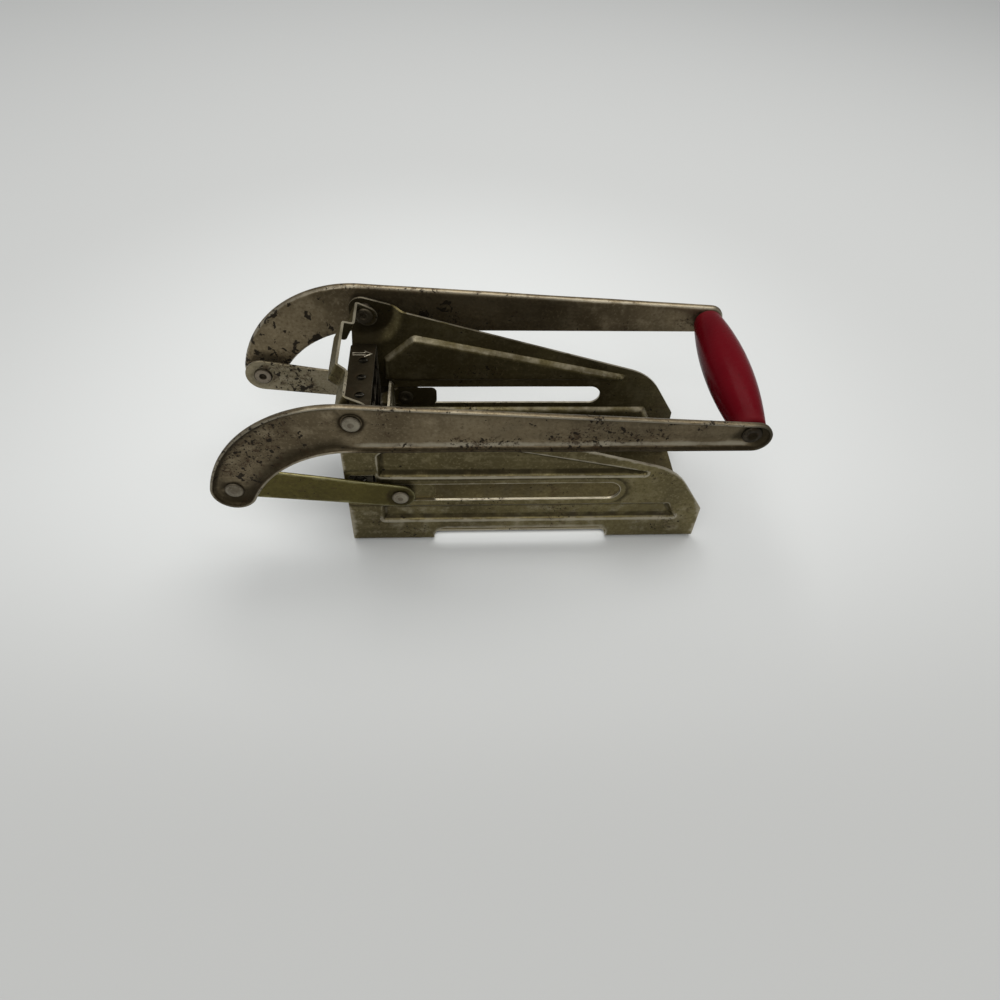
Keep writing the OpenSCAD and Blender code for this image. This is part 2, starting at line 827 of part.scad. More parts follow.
module cutter_frame() {
  outer = box_outline([-frame_w / 2, frame_bottom], [frame_w / 2, frame_top], frame_r);
  strip_mid = (frame_front + frame_back) / 2;
  color(bright_steel)
    from_front()
      difference() {
        union() {
          plate(outer, frame_front, frame_back);
          translate([0, frame_r - frame_w / 2, frame_top - frame_t])
            cube([frame_front + cut, frame_w - 2 * frame_r, frame_t]);
        }
        plate(inset(outer, frame_t), frame_front - cut, frame_back + cut);
        for (i = [0:cells - 2]) {
          line = first_line + i * cell;
          translate([blade_mid, line, frame_bottom - cut])
            cylinder(d = tab_hole_d, h = frame_top - frame_bottom + 2 * cut);
          translate([blade_mid, frame_w / 2 + cut, slot_z + line])
            rotate([90, 0, 0])
              cylinder(d = tab_hole_d, h = frame_w + 2 * cut);
        }
        translate([strip_mid - arrow_len + arrow_head, 2 * cell + arrow_side, frame_top - arrow_depth])
          linear_extrude(cut)
            difference() {
              polygon(arrow_points);
              polygon(inset(arrow_points, arrow_line));
            }
      }
}

// Bar with the section of a blade, its ground edge towards +X, standing on Z = 0
module blade_bar(length) {
  linear_extrude(length)
    polygon([
      [blade_front, -blade_t / 2], [blade_back - edge_len, -blade_t / 2], [blade_back, 0],
      [blade_back - edge_len, blade_t / 2], [blade_front, blade_t / 2]
    ]);
}

// Level blades are notched from the front, up to their middle, where they cross the upright ones
module horizontal_blade(i) {
  half = frame_w / 2 - frame_t;
  reach = frame_w / 2 - tab_recess;
  color(bright_steel)
    from_front()
      translate([0, 0, slot_z + first_line + i * cell])
        difference() {
          union() {
            translate([0, half, 0])
              rotate([90, 0, 0])
                blade_bar(2 * half);
            translate([blade_mid - tab_w / 2, -reach, -blade_t / 2])
              cube([tab_w, 2 * reach, blade_t]);
          }
          for (j = [0:cells - 2])
            translate([blade_front - cut, first_line + j * cell - blade_t / 2 - slip, -blade_t])
              cube([blade_mid - blade_front + slip + cut, blade_t + 2 * slip, 2 * blade_t]);
        }
}

// Upright blades are notched from the rear; they run between the frame's bottom and top strips
module vertical_blade(i) {
  low = frame_bottom + frame_t;
  high = frame_top - frame_t;
  color(bright_steel)
    from_front()
      translate([0, first_line + i * cell, 0])
        difference() {
          union() {
            translate([0, 0, low])
              blade_bar(high - low);
            translate([blade_mid - tab_w / 2, -blade_t / 2, frame_bottom + tab_recess])
              cube([tab_w, blade_t, frame_top - frame_bottom - 2 * tab_recess]);
          }
          for (j = [0:cells - 2])
            translate([blade_mid - slip, -blade_t, slot_z + first_line + j * cell - blade_t / 2 - slip])
              cube([blade_back - blade_mid + slip + cut, 2 * blade_t, blade_t + 2 * slip]);
        }
}

body_shell();
pivot_rivet();  // pivot_rivet_near
far_side() pivot_rivet();  // pivot_rivet_far
pivot_washer();  // pivot_washer_near
far_side() pivot_washer();  // pivot_washer_far
keeper_spacer();  // keeper_spacer_near
far_side() keeper_spacer();  // keeper_spacer_far
cutter_keeper();
lever_arm();  // lever_arm_near
far_side() lever_arm();  // lever_arm_far
handle_rod();
handle_grip();
hook_rivet();  // hook_rivet_near
far_side() hook_rivet();  // hook_rivet_far
hook_rivet_tail();  // hook_rivet_tail_near
far_side() hook_rivet_tail();  // hook_rivet_tail_far
link();  // link_near
far_side() link();  // link_far
link_stud();  // link_stud_near
far_side() link_stud();  // link_stud_far
slot_bush();  // slot_bush_near
far_side() slot_bush();  // slot_bush_far
push_plate();
cutter_frame();
vertical_blade(0);  // vertical_blade_1
vertical_blade(1);  // vertical_blade_2
vertical_blade(2);  // vertical_blade_3
vertical_blade(3);  // vertical_blade_4
horizontal_blade(0);  // horizontal_blade_1
horizontal_blade(1);  // horizontal_blade_2
horizontal_blade(2);  // horizontal_blade_3
horizontal_blade(3);  // horizontal_blade_4
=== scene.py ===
import json
import math

import bmesh
import bpy
import numpy as np
from mathutils import Matrix, Vector, kdtree, noise
from mathutils.geometry import delaunay_2d_cdt


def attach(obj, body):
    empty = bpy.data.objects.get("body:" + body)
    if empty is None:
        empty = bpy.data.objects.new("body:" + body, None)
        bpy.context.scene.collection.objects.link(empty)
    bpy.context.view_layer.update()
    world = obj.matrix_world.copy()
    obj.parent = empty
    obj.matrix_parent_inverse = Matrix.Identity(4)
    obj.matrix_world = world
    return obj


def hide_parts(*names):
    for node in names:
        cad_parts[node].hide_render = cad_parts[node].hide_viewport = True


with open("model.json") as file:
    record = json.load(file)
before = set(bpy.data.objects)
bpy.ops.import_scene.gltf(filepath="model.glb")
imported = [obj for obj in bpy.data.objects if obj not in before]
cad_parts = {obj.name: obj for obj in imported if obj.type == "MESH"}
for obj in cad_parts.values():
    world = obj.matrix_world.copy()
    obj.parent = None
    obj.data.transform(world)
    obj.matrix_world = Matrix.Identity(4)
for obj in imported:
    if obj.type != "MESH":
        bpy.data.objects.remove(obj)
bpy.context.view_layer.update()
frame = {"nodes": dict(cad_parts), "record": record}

MM = 0.001
NEAR, FAR = -1, 1

# ---- sizes, in millimetres, as in the CAD source
# X counts from the body's front edge, Y from the middle (near side below 0) and Z from the table
FRONT_X = -66.85
SHEET = 1.2
SLIP = 0.05
BODY_LEN = 174.2
SIDE_IN, SIDE_OUT = 35.35, 36.55
BEND_R = 2.4
FOOT_H = 0.8
BOSS_H = 3.8
BOSS_OUT = SIDE_OUT + BOSS_H
WEB_IN = SIDE_OUT + 5.8
WEB_OUT = WEB_IN + SHEET
FLANGE_OUT = WEB_IN + 3.7
LINK_IN = SIDE_OUT + 1.1
LINK_OUT = LINK_IN + 1.5
WING_OUT = 35.0
WING_IN = WING_OUT - SHEET
LEG_OUT = 35.25
LEG_IN = LEG_OUT - SHEET
SLOT_Z = 36.3
PIVOT = np.array([7.8, 87.2])
HOOK = PIVOT - [56.4, 40.0]
STUD = np.array([25.4, SLOT_Z])
ARM_END = 190.5
ARM_LOW = PIVOT[1] - 15.3
ROD = np.array([ARM_END - 8.8, ARM_LOW + 8.3])
CELL = 13.0
FRAME_FRONT, FRAME_BACK, FRAME_TOP = 1.3, 12.5, 71.7
FRAME_BOTTOM = FOOT_H + SHEET + SLIP
FRAME_HALF = 34.0
BLADE_MID = (1.5 + 12.3) / 2
DOME_H = 1.5
CLINCH_H = 0.9


def side_name(side):
    return "near" if side == NEAR else "far"


# ---- camera, fitted to the photograph
CAMERA_PLACE = (-16.91, -279.0, 301.77)
CAMERA_ANGLES = (5.4318, 48.0813, -3.4932)  # turn to the right, tilt down and roll, in degrees
SENSOR, LENS = 36, 26.99


def make_camera():
    turn, tilt, roll = (math.radians(a) for a in CAMERA_ANGLES)
    camera = bpy.data.objects.new("view", bpy.data.cameras.new("view"))
    camera.data.sensor_width = SENSOR
    camera.data.lens = LENS
    camera.data.clip_start = 0.01
    camera.data.clip_end = 50
    aim = Matrix.Rotation(-turn, 4, "Z") @ Matrix.Rotation(math.pi / 2 - tilt, 4, "X")
    aim = aim @ Matrix.Rotation(-roll, 4, "Z")
    camera.matrix_world = Matrix.Translation(Vector(CAMERA_PLACE) * MM) @ aim
    bpy.context.scene.collection.objects.link(camera)
    bpy.context.scene.camera = camera


make_camera()


# ---- flat outlines
def unit(v):
    return v / np.linalg.norm(v)


def direction(v):
    return math.atan2(v[1], v[0])


def arc(c, r, a0, a1, n=10):
    a = np.linspace(a0, a1, n + 1)
    return np.column_stack((c[0] + r * np.cos(a), c[1] + r * np.sin(a)))


def circle(c, r, n=40):
    a = np.arange(n) * 2 * math.pi / n
    return np.column_stack((c[0] + r * np.cos(a), c[1] + r * np.sin(a)))


def corner(a, b, c, r, n):
    """Arc of radius r that rounds the corner b between a and c."""
    u, w = unit(a - b), unit(c - b)
    half = math.acos(max(-1, min(1, float(u @ w)))) / 2
    centre = b + unit(u + w) * r / math.sin(half)
    start = b + u * r / math.tan(half) - centre
    end = b + w * r / math.tan(half) - centre
    turn = math.pi - 2 * half
    if start[0] * end[1] - start[1] * end[0] < 0:
        turn = -turn
    return arc(centre, r, direction(start), direction(start) + turn, n)


def rounded(points, n=8):
    """Outline from (x, y, radius) entries. A radius of 0 keeps the point."""
    p = [np.array(q[:2], float) for q in points]
    out = []
    for i, b in enumerate(p):
        r = points[i][2]
        out.append(corner(p[i - 1], b, p[(i + 1) % len(p)], r, n) if r > 0 else b[None])
    return np.vstack(out)


def box_outline(x0, y0, x1, y1, r, n=8):
    return rounded([(x0, y0, r), (x1, y0, r), (x1, y1, r), (x0, y1, r)], n)


def inset(p, d):
    """Counter-clockwise closed outline with every edge moved inward by d."""
    edges = p - np.roll(p, 1, 0), np.roll(p, -1, 0) - p
    n1, n2 = (np.column_stack((-e[:, 1], e[:, 0])) / np.linalg.norm(e, axis=1)[:, None] for e in edges)
    return p + d * (n1 + n2) / (1 + (n1 * n2).sum(1))[:, None]


def belt(c1, r1, c2, r2, n):
    """The two arcs of an outline around two circles, first the one round c2."""
    axis = direction(c2 - c1)
    open_ = math.acos((r1 - r2) / np.linalg.norm(c2 - c1))
    arc_2 = arc(c2, r2, axis - open_, axis + open_, n)
    return arc_2, arc(c1, r1, axis + open_, axis + 2 * math.pi - open_, n)


def run(a, b, n):
    """Points between a and b at n equal steps, without a and b."""
    return a + (b - a) * (np.arange(1, n)[:, None] / n)


def densify(loop, step, closed=True):
    """The same outline with points no further apart than the step."""
    ends = np.roll(loop, -1, 0) if closed else loop[1:]
    points = []
    for a, b in zip(loop, ends):
        k = max(1, int(math.ceil(np.linalg.norm(b - a) / step)))
        points += [a + (b - a) * j / k for j in range(k)]
    if not closed:
        points.append(loop[-1])
    return np.array(points)


def inside(p, outline, holes=()):
    """Which points lie in the outline and in none of the holes, by the even-odd rule."""
    found = np.ones(len(p), bool)
    for loop in (outline, *holes):
        x, y = p[:, :1], p[:, 1:]
        (ax, ay), (bx, by) = loop.T, np.roll(loop, -1, 0).T
        crosses = (ay > y) != (by > y)
        at = ax + (y - ay) * (bx - ax) / np.where(by == ay, 1e-12, by - ay)
        odd = np.sum(crosses & (x < at), axis=1) % 2 == 1
        found &= odd if loop is outline else ~odd
    return found


def distance(p, loop, closed=True):
    """Distance of many points from an outline."""
    a, b = (loop, np.roll(loop, -1, 0)) if closed else (loop[:-1], loop[1:])
    ab = b - a
    l2 = np.maximum((ab ** 2).sum(1), 1e-12)
    out = np.empty(len(p))
    batch = 4000
    for s in range(0, len(p), batch):
        ap = p[s:s + batch, None] - a[None]
        t = np.clip((ap * ab[None]).sum(2) / l2[None], 0, 1)
        d = ap - t[..., None] * ab[None]
        out[s:s + batch] = np.sqrt((d ** 2).sum(2).min(1))
    return out


def depth_in(p, loop):
    """Distance to the outline, positive inside it."""
    d = distance(p, loop)
    return np.where(inside(p, loop), d, -d)


# ---- soft steps
def smooth(t):
    t = np.clip(t, 0, 1)
    return t * t * (3 - 2 * t)


def rise(x, start, width):
    """0 up to the start, 1 from start + width on."""
    return smooth((x - start) / width)


def fall(x, end, width):
    """1 up to end - width, 0 from the end on."""
    return smooth((end - x) / width)


def blob(p, x, z, across, up):
    """1 at (x, z) in side view, fading over the two widths."""
    return np.exp(-((p[:, 0] - x) / across) ** 2 - ((p[:, 2] - z) / up) ** 2)


def waves(points):
    """Smooth noise at rows of three numbers."""
    return np.array([noise.noise(Vector(q)) for q in points])


# ---- meshes
def wound_up(v, f):
    """Triangles turned counter-clockwise, without those of no area."""
    a, b, c = v[f[:, 0]], v[f[:, 1]], v[f[:, 2]]
    area = (b[:, 0] - a[:, 0]) * (c[:, 1] - a[:, 1]) - (b[:, 1] - a[:, 1]) * (c[:, 0] - a[:, 0])
    real = np.abs(area) > 1e-9
    f, area = f[real], area[real]
    f[area < 0] = f[area < 0][:, ::-1]
    return f


def grid_in(outline, holes, loops, step):
    """Triangular grid of points, clear of every loop."""
    lo, hi = outline.min(0), outline.max(0)
    gx, gy = np.meshgrid(np.arange(lo[0], hi[0], step), np.arange(lo[1], hi[1], step * 0.866))
    gx[1::2] += step / 2
    g = np.column_stack((gx.ravel(), gy.ravel()))
    g = g[inside(g, outline, holes)]
    for k, (loop, closed) in enumerate(loops):
        clear = 0.55 if k <= len(holes) else 0.5
        g = g[distance(g, loop, closed) > clear * step]
    return g


def blank(outline, holes=(), creases=(), lines=(), step=2.2, exact=False):
    """Points and triangles of a flat sheet. Creases are closed guide loops, lines are open ones."""
    loops = [(outline if exact else densify(outline, step), True)]
    loops += [(h if exact else densify(h, step * 0.7), True) for h in holes]
    loops += [(densify(c, step * 0.8), True) for c in creases]
    loops += [(densify(c, step, False), False) for c in lines]
    # a few micrometres of unevenness keep straight runs from making slivers
    rng = np.random.default_rng(5)
    loops = [(loop + rng.uniform(-0.004, 0.004, loop.shape), closed) for loop, closed in loops]
    verts, edges = [], []
    for loop, closed in loops:
        k, n = len(verts), len(loop)
        verts += [Vector(v) for v in loop]
        edges += [(k + i, k + (i + 1) % n) for i in range(n if closed else n - 1)]
    verts += [Vector(v) for v in grid_in(outline, holes, loops, step)]
    v, _, f, _, _, _ = delaunay_2d_cdt(verts, edges, [], 0, 1e-5)
    v = np.array([tuple(q) for q in v])
    f = np.array([list(t) for t in f])
    border = [loop for loop, _ in loops[:len(holes) + 1]]
    f = wound_up(v, f[inside(v[f].mean(1), border[0], border[1:])])
    used, f = np.unique(f, return_inverse=True)
    return v[used], f.reshape(-1, 3)


def upright(loop, y):
    """Side-view points (x, z) in the plane at y."""
    return np.column_stack((loop[:, 0], np.full(len(loop), y), loop[:, 1]))


def skin(rings, n):
    """Faces between a number of rings of n points each."""
    return [(k + i, k + (i + 1) % n, k + n + (i + 1) % n, k + n + i)
            for k in range(0, (rings - 1) * n, n) for i in range(n)]


def loft(rings, heights, side):
    """Skin between outlines (x, z) at distances from the middle."""
    v = np.vstack([upright(ring, side * h) for ring, h in zip(rings, heights)])
    return v, skin(len(rings), len(rings[0]))


def web(outline, holes, h, side, step, creases=()):
    """Flat face whose border matches a loft's ring."""
    q, f = blank(outline, holes, creases, step=step, exact=True)
    return upright(q, side * h), f


def join_parts(parts):
    v, f, k = [], [], 0
    for points, faces in parts:
        v.append(points)
        f += [[int(i) + k for i in face] for face in faces]
        k += len(points)
    return np.vstack(v), f


# ---- objects
def to_object(name, verts, faces, body, slot, nodes=(), material=None):
    """Object in the shared frame from vertices in millimetres, with the slot's material if none is given."""
    v = (np.asarray(verts, float) + [FRONT_X, 0, 0]) * MM
    me = bpy.data.meshes.new(name)
    me.from_pydata([tuple(q) for q in v], [], [list(map(int, t)) for t in faces])
    me.validate()
    me.update()
    me.materials.append(MATERIALS[material or slot])
    o = bpy.data.objects.new(name, me)
    bpy.context.scene.collection.objects.link(o)
    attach(o, body)
    if nodes:
        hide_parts(*nodes)
    return o


def apply_modifiers(o):
    deps = bpy.context.evaluated_depsgraph_get()
    me = bpy.data.meshes.new_from_object(o.evaluated_get(deps))
    old = o.data
    o.modifiers.clear()
    o.data = me
    bpy.data.meshes.remove(old)


def finish_surface(o, bevel=0, thickness=0, offset=-1):
    """Sheet thickness, rounded edges and smooth shading, applied to the mesh."""
    if thickness:
        wall = o.modifiers.new("thickness", "SOLIDIFY")
        wall.thickness = thickness * MM
        wall.offset = offset
    if bevel:
        edge = o.modifiers.new("edge", "BEVEL")
        edge.width = bevel * MM
        edge.segments = 2
        edge.limit_method = "ANGLE"
        edge.angle_limit = math.radians(50)
    for face in o.data.polygons:
        face.use_smooth = True
    o.modifiers.new("normals", "WEIGHTED_NORMAL").keep_sharp = True
    apply_modifiers(o)


def turn_outward(o, weld=0):
    """Faces of a closed mesh turned outward, after its points closer than the weld are joined."""
    bm = bmesh.new()
    bm.from_mesh(o.data)
    if weld:
        bmesh.ops.remove_doubles(bm, verts=bm.verts, dist=weld * MM)
    bmesh.ops.recalc_face_normals(bm, faces=bm.faces)
    bm.to_mesh(o.data)
    bm.free()


def turn_away(o, centre):
    """Faces of a bent sheet turned away from a centre. None there stands for each face's own place."""
    faces = o.data.polygons
    p = np.array([tuple(f.center) for f in faces]) / MM - [FRONT_X, 0, 0]
    n = np.array([tuple(f.normal) for f in faces])
    c = np.column_stack([p[:, k] if v is None else np.full(len(p), v) for k, v in enumerate(centre)])
    if (((p - c) * n).sum(1) * [f.area for f in faces]).sum() < 0:
        o.data.flip_normals()


# ---- wear and grime, with painted highlights and painted shade, as attributes of the points
def points_mm(o):
    n = len(o.data.vertices)
    v, normals = np.empty(n * 3), np.empty(n * 3)
    o.data.vertices.foreach_get("co", v)
    o.data.vertex_normals.foreach_get("vector", normals)
    return v.reshape(-1, 3) / MM - [FRONT_X, 0, 0], normals.reshape(-1, 3)


def near_field(p, groups, reach):
    """1 at the points of the groups, falling to 0 at the given reach."""
    sources = [Vector(s) for group in groups for s in group]
    if not sources:
        return np.zeros(len(p))
    tree = kdtree.KDTree(len(sources))
    for i, s in enumerate(sources):
        tree.insert(s, i)
    tree.balance()
    return np.array([max(0.0, 1 - tree.find(Vector(q))[2] / reach) for q in p])


def paint(o, name, values):
    at = o.data.attributes.get(name) or o.data.attributes.new(name, "FLOAT", "POINT")
    at.data.foreach_set("value", np.clip(values, 0, 1).astype(np.float32))


def sharp_points(o):
    """Points on an object's sharp or bevelled edges."""
    limit = math.radians(35)
    bm = bmesh.new()
    bm.from_mesh(o.data)
    sharp = [e for e in bm.edges if len(e.link_faces) == 2 and e.calc_face_angle(0) > limit]
    points = np.array([tuple(v.co) for e in sharp for v in e.verts])
    bm.free()
    return points.reshape(-1, 3) / MM - [FRONT_X, 0, 0]


def wear_grime_and_painted_light(o, worn_and_lit=(), dirty_and_shaded=(), wear_and_highlight_reach=2.0, grime_and_shade_reach=4.0, refine=None, edges=True):
    """Lighter near the edges and the worn points, for worn metal and painted highlights; darker near the
    dirty points, for dirt and painted shade.
    """
    p, n = points_mm(o)
    wear_and_highlight = near_field(p, [*worn_and_lit, sharp_points(o)] if edges else worn_and_lit, wear_and_highlight_reach)
    grime_and_shade = near_field(p, dirty_and_shaded, grime_and_shade_reach)
    if refine:
        wear_and_highlight, grime_and_shade = refine(p, n, wear_and_highlight, grime_and_shade)
    paint(o, "wear_and_highlight", wear_and_highlight)
    paint(o, "grime_and_shade", grime_and_shade)


# ---- materials
RUST = (0.045, 0.024, 0.011)
GRIME_AND_SHADE = (0.020, 0.014, 0.0045)
SPECK = (0.014, 0.010, 0.006)
BRIGHT = (0.42, 0.38, 0.29)
MATERIALS = {}


class Graph:
    """Short way to write a node tree."""

    def __init__(self, name):
        self.mat = bpy.data.materials.new(name)
        self.mat.use_nodes = True
        self.t = self.mat.node_tree
        self.t.nodes.clear()
        self.bsdf = self.node("BsdfPrincipled")
        self.node("OutputMaterial", Surface=self.bsdf.outputs[0])
        self.coord = self.node("TexCoord").outputs["Object"]

    def put(self, socket, value):
        """Links an output to a socket, or sets a plain value."""
        if isinstance(value, bpy.types.NodeSocket):
            self.t.links.new(value, socket)
        else:
            socket.default_value = (*value, 1) if socket.type == "RGBA" else value

    def node(self, kind, **values):
        """New node with its inputs set by name."""
        n = self.t.nodes.new("ShaderNode" + kind)
        for name, value in values.items():
            self.put(n.inputs[name.replace("_", " ")], value)
        return n

    def surface(self, colour, roughness, height, strength, distance):
        """Connects colour, roughness and bump."""
        bump = self.node("Bump", Strength=strength, Distance=distance, Height=height)
        self.put(self.bsdf.inputs["Base Color"], colour)
        self.put(self.bsdf.inputs["Roughness"], roughness)
        self.put(self.bsdf.inputs["Normal"], bump.outputs["Normal"])

    def noise(self, scale, detail, rough, stretch=(1, 1, 1), distort=0.0, offset=(0, 0, 0)):
        place = self.node("Mapping", Scale=stretch, Location=offset, Vector=self.coord)
        n = self.node("TexNoise", Vector=place.outputs[0], Scale=scale, Detail=detail,
                      Roughness=rough, Distortion=distort)
        return n.outputs["Fac"]

    def math(self, op, a, b=0.0, clamp=False):
        n = self.node("Math")
        n.operation = op
        n.use_clamp = clamp
        self.put(n.inputs[0], a)
        self.put(n.inputs[1], b)
        return n.outputs[0]

    def add(self, a, b, clamp=False):
        return self.math("ADD", a, b, clamp)

    def less(self, a, b, clamp=False):
        return self.math("SUBTRACT", a, b, clamp)

    def times(self, a, b):
        return self.math("MULTIPLY", a, b)

    def most(self, a, b):
        return self.math("MAXIMUM", a, b)

    def ramp(self, value, start, end, low=0.0, high=1.0):
        """Smooth step of a value, from low at the start to high at the end."""
        n = self.node("MapRange", Value=value, From_Min=start, From_Max=end, To_Min=low, To_Max=high)
        n.interpolation_type = "SMOOTHSTEP"
        return n.outputs["Result"]

    def mix(self, share, a, b):
        n = self.node("Mix", Factor=share)
        n.data_type = "RGBA"
        self.put(n.inputs[6], a)
        self.put(n.inputs[7], b)
        return n.outputs[2]

    def attribute(self, name):
        n = self.node("Attribute")
        n.attribute_name = name
        return n.outputs["Fac"]


def plated(name, base, light, dark, speck, rusting, bright=BRIGHT, offset=(0, 0, 0)):
    """Old nickel plate: mottling, grain, clustered dark specks, worn edges and painted highlights, dirty
    corners and painted shade, and flakes.
    """
    g = Graph(name)

    def cloud(scale, detail, rough, shift=0.0, **more):
        return g.noise(scale, detail, rough, offset=(offset[0] + shift, *offset[1:]), **more)

    def uneven(value, amount):
        return g.add(value, g.times(g.less(mid, 0.5), amount))

    def spots(grain, level, share, soft):
        limit = g.less(level - 0.03 * speck, g.times(patch, share * speck))
        return g.ramp(g.less(grain, limit), 0.0, soft)

    big = cloud(24, 3, 0.5)
    mid = cloud(110, 4, 0.6)
    fine = cloud(620, 4, 0.7)
    streak = cloud(300, 3, 0.6, stretch=(0.10, 1, 1))
    grime_and_shade, wear_and_highlight, pits, flakes = (g.attribute(a) for a in ("grime_and_shade", "wear_and_highlight", "pits", "flakes"))
    c = g.mix(g.ramp(big, 0.38, 0.66), dark, base)
    # each layer: its noise, where it starts and ends, the share there, and its colour
    for layer, start, end, low, high, colour in (
            (mid, 0.30, 0.46, 0.45, 0.0, dark), (mid, 0.50, 0.72, 0.0, 0.65, light),
            (streak, 0.50, 0.75, 0.0, 0.30, light), (fine, 0.30, 0.50, 0.80, 0.0, dark),
            (fine, 0.52, 0.70, 0.0, 0.50, light)):
        c = g.mix(g.ramp(layer, start, end, low, high), c, colour)
    # the light colour mixed in here is worn metal and painted highlights
    worn_and_lit = g.ramp(uneven(wear_and_highlight, 0.9), 0.45, 0.95)
    c = g.mix(g.times(worn_and_lit, 0.75), c, bright)
    # the dark colour mixed in here is dirt and painted shade
    dirt_and_shade = g.ramp(uneven(grime_and_shade, 0.6), 0.15, 1.0)
    c = g.mix(g.times(dirt_and_shade, 0.85), c, GRIME_AND_SHADE)
    # rust stains in clusters
    cluster = cloud(48, 4, 0.62, 3.1, distort=0.3)
    patch = g.ramp(g.add(cluster, g.add(g.times(grime_and_shade, 0.04), g.times(pits, 0.24))), 0.54, 0.68)
    stain = g.ramp(cloud(330, 4, 0.7, 1.7, distort=0.5), 0.48, 0.66)
    stain = g.times(g.times(stain, patch), rusting)
    c = g.mix(stain, c, RUST)
    # fine and coarse specks, closer together in the clusters
    specks = g.most(spots(cloud(780, 3, 0.6, 6.1), 0.735, 0.13, 0.03),
                    spots(cloud(330, 2, 0.5, 9.4), 0.76, 0.10, 0.025))
    # rust flakes, only where the flakes attribute puts them
    flake = g.add(cloud(170, 3, 0.6, 4.4, distort=0.4), g.times(flakes, 0.22))
    specks = g.most(specks, g.ramp(flake, 0.73, 0.755))
    c = g.mix(g.times(specks, 0.88), c, SPECK)
    g.bsdf.inputs["Metallic"].default_value = 0.85
    rough = g.add(g.ramp(mid, 0.3, 0.75, 0.34, 0.55), g.times(g.most(stain, g.most(specks, dirt_and_shade)), 0.25))
    rough = g.less(rough, g.times(worn_and_lit, 0.10), True)
    height = g.less(g.add(g.times(mid, 0.6), g.times(fine, 0.25)), g.times(specks, 0.9))
    g.surface(c, rough, g.add(height, g.times(stain, fine)), 0.35, 0.0003)
    MATERIALS[name] = g.mat


def red_paint():
    """Glossy dark red, chalky at the worn ends and with a few dark spots."""
    g = Graph("red_grip")
    fine = g.noise(420, 4, 0.6)
    chalk = g.attribute("wear_and_highlight")
    tone = g.ramp(g.noise(30, 3, 0.5, (1, 0.4, 1)), 0.35, 0.7)
    c = g.mix(tone, (0.072, 0.0012, 0.0036), (0.102, 0.0026, 0.0060))
    c = g.mix(g.times(chalk, 0.25), c, (0.14, 0.020, 0.022))
    c = g.mix(g.times(g.ramp(g.noise(230, 4, 0.7, distort=0.4), 0.60, 0.70), 0.35), c, (0.045, 0.004, 0.004))
    g.bsdf.inputs["Specular IOR Level"].default_value = 0.03
    rough = g.add(g.ramp(fine, 0.3, 0.75, 0.20, 0.34), g.times(chalk, 0.25), True)
    g.surface(c, rough, g.add(g.times(fine, 0.3), g.noise(60, 3, 0.5, (1, 0.3, 1))), 0.12, 0.0004)
    MATERIALS["red_grip"] = g.mat


def make_materials():
    """Given: base, light and dark colour, amount of specks and of rust, worn and highlight colour, shift of
    the noise.
    """
    plated("plated_body", (0.155, 0.128, 0.055), (0.250, 0.212, 0.115), (0.082, 0.065, 0.026), 0.75, 0.5)
    plated("plated_arm", (0.188, 0.148, 0.088), (0.290, 0.238, 0.152), (0.097, 0.073, 0.040), 1.0, 0.7,
           offset=(0.31, 0.1, 0.2))
    # the near strap's copy is darker and olive, painted shade with a painted yellowish reflection; the far
    # strap's copy below is the plain one
    plated("plated_link", (0.092, 0.075, 0.016), (0.125, 0.104, 0.027), (0.064, 0.051, 0.010), 0.5, 0.4,
           (0.26, 0.24, 0.12), (0.7, 0.4, 0.1))
    plated("plated_link_far", (0.235, 0.200, 0.130), (0.310, 0.270, 0.190), (0.150, 0.125, 0.075), 0.9, 0.7,
           offset=(0.4, 0.6, 0.3))
    plated("rivet_steel", (0.170, 0.143, 0.100), (0.25, 0.220, 0.165), (0.10, 0.083, 0.058), 0.3, 0.3,
           (0.33, 0.30, 0.23), (0.2, 0.9, 0.4))
    plated("dark_rod", (0.060, 0.048, 0.032), (0.100, 0.081, 0.055), (0.026, 0.020, 0.012), 0.7, 0.8,
           (0.24, 0.20, 0.15), (0.9, 0.3, 0.6))
    plated("cutter_steel", (0.052, 0.043, 0.027), (0.095, 0.083, 0.058), (0.019, 0.015, 0.009), 0.5, 0.5,
           offset=(0.5, 0.2, 0.8))
    plated("blade_steel", (0.045, 0.039, 0.028), (0.080, 0.072, 0.055), (0.024, 0.020, 0.013), 0.3, 0.4,
           offset=(0.8, 0.7, 0.3))
    red_paint()


# ---- body
FLAT = SIDE_OUT - BEND_R  # half width of the floor between its bends
BEND_LEN = BEND_R * math.pi / 2
SIDE_TOP = [(0, 95.8, 6), (157, 49.7, 30), (174.2, 22.8, 1.5)]
RELIEF_FRONT = 15.2
PANEL = rounded([(RELIEF_FRONT, 46.4, 1.6), (143, 46.4, 1.6), (143, 49.9, 1.6), (31, 75, 4),
                 (RELIEF_FRONT, 61, 3)])
CHANNEL = rounded([(RELIEF_FRONT, 15.5, 1.6), (163.5, 15.5, 1.6), (157.5, 27.4, 1.6),
                   (RELIEF_FRONT, 27.4, 1.6)])
PANEL_DEPTH, PANEL_WALL = 2.4, 2.3
CHANNEL_DEPTH, CHANNEL_WALL = 2.0, 2.1
BOSS_R, BOSS_WALL = 19.7, 6.4
SLOT_DRAW = 0.18
SLOT_FRONT, SLOT_END, SLOT_R = 2.2, 125.5, 5.7
WINDOW_TOP = 48.3
PIVOT_HOLE = circle(PIVOT, 2.42, 36)
DIMPLES_X, DIMPLE_Y, DIMPLE_R = (6.0, BODY_LEN - 6.0), SIDE_OUT - 7.4, 5.0
NOTCH_X, NOTCH_IN, NOTCH_TOP = (40.6, 128.8), 31.05, 9.6


def side_blank_s(z):
    """Distance along the unrolled sheet from the middle of the floor to a height on the side plate."""
    return z + FLAT + BEND_LEN - FOOT_H - BEND_R


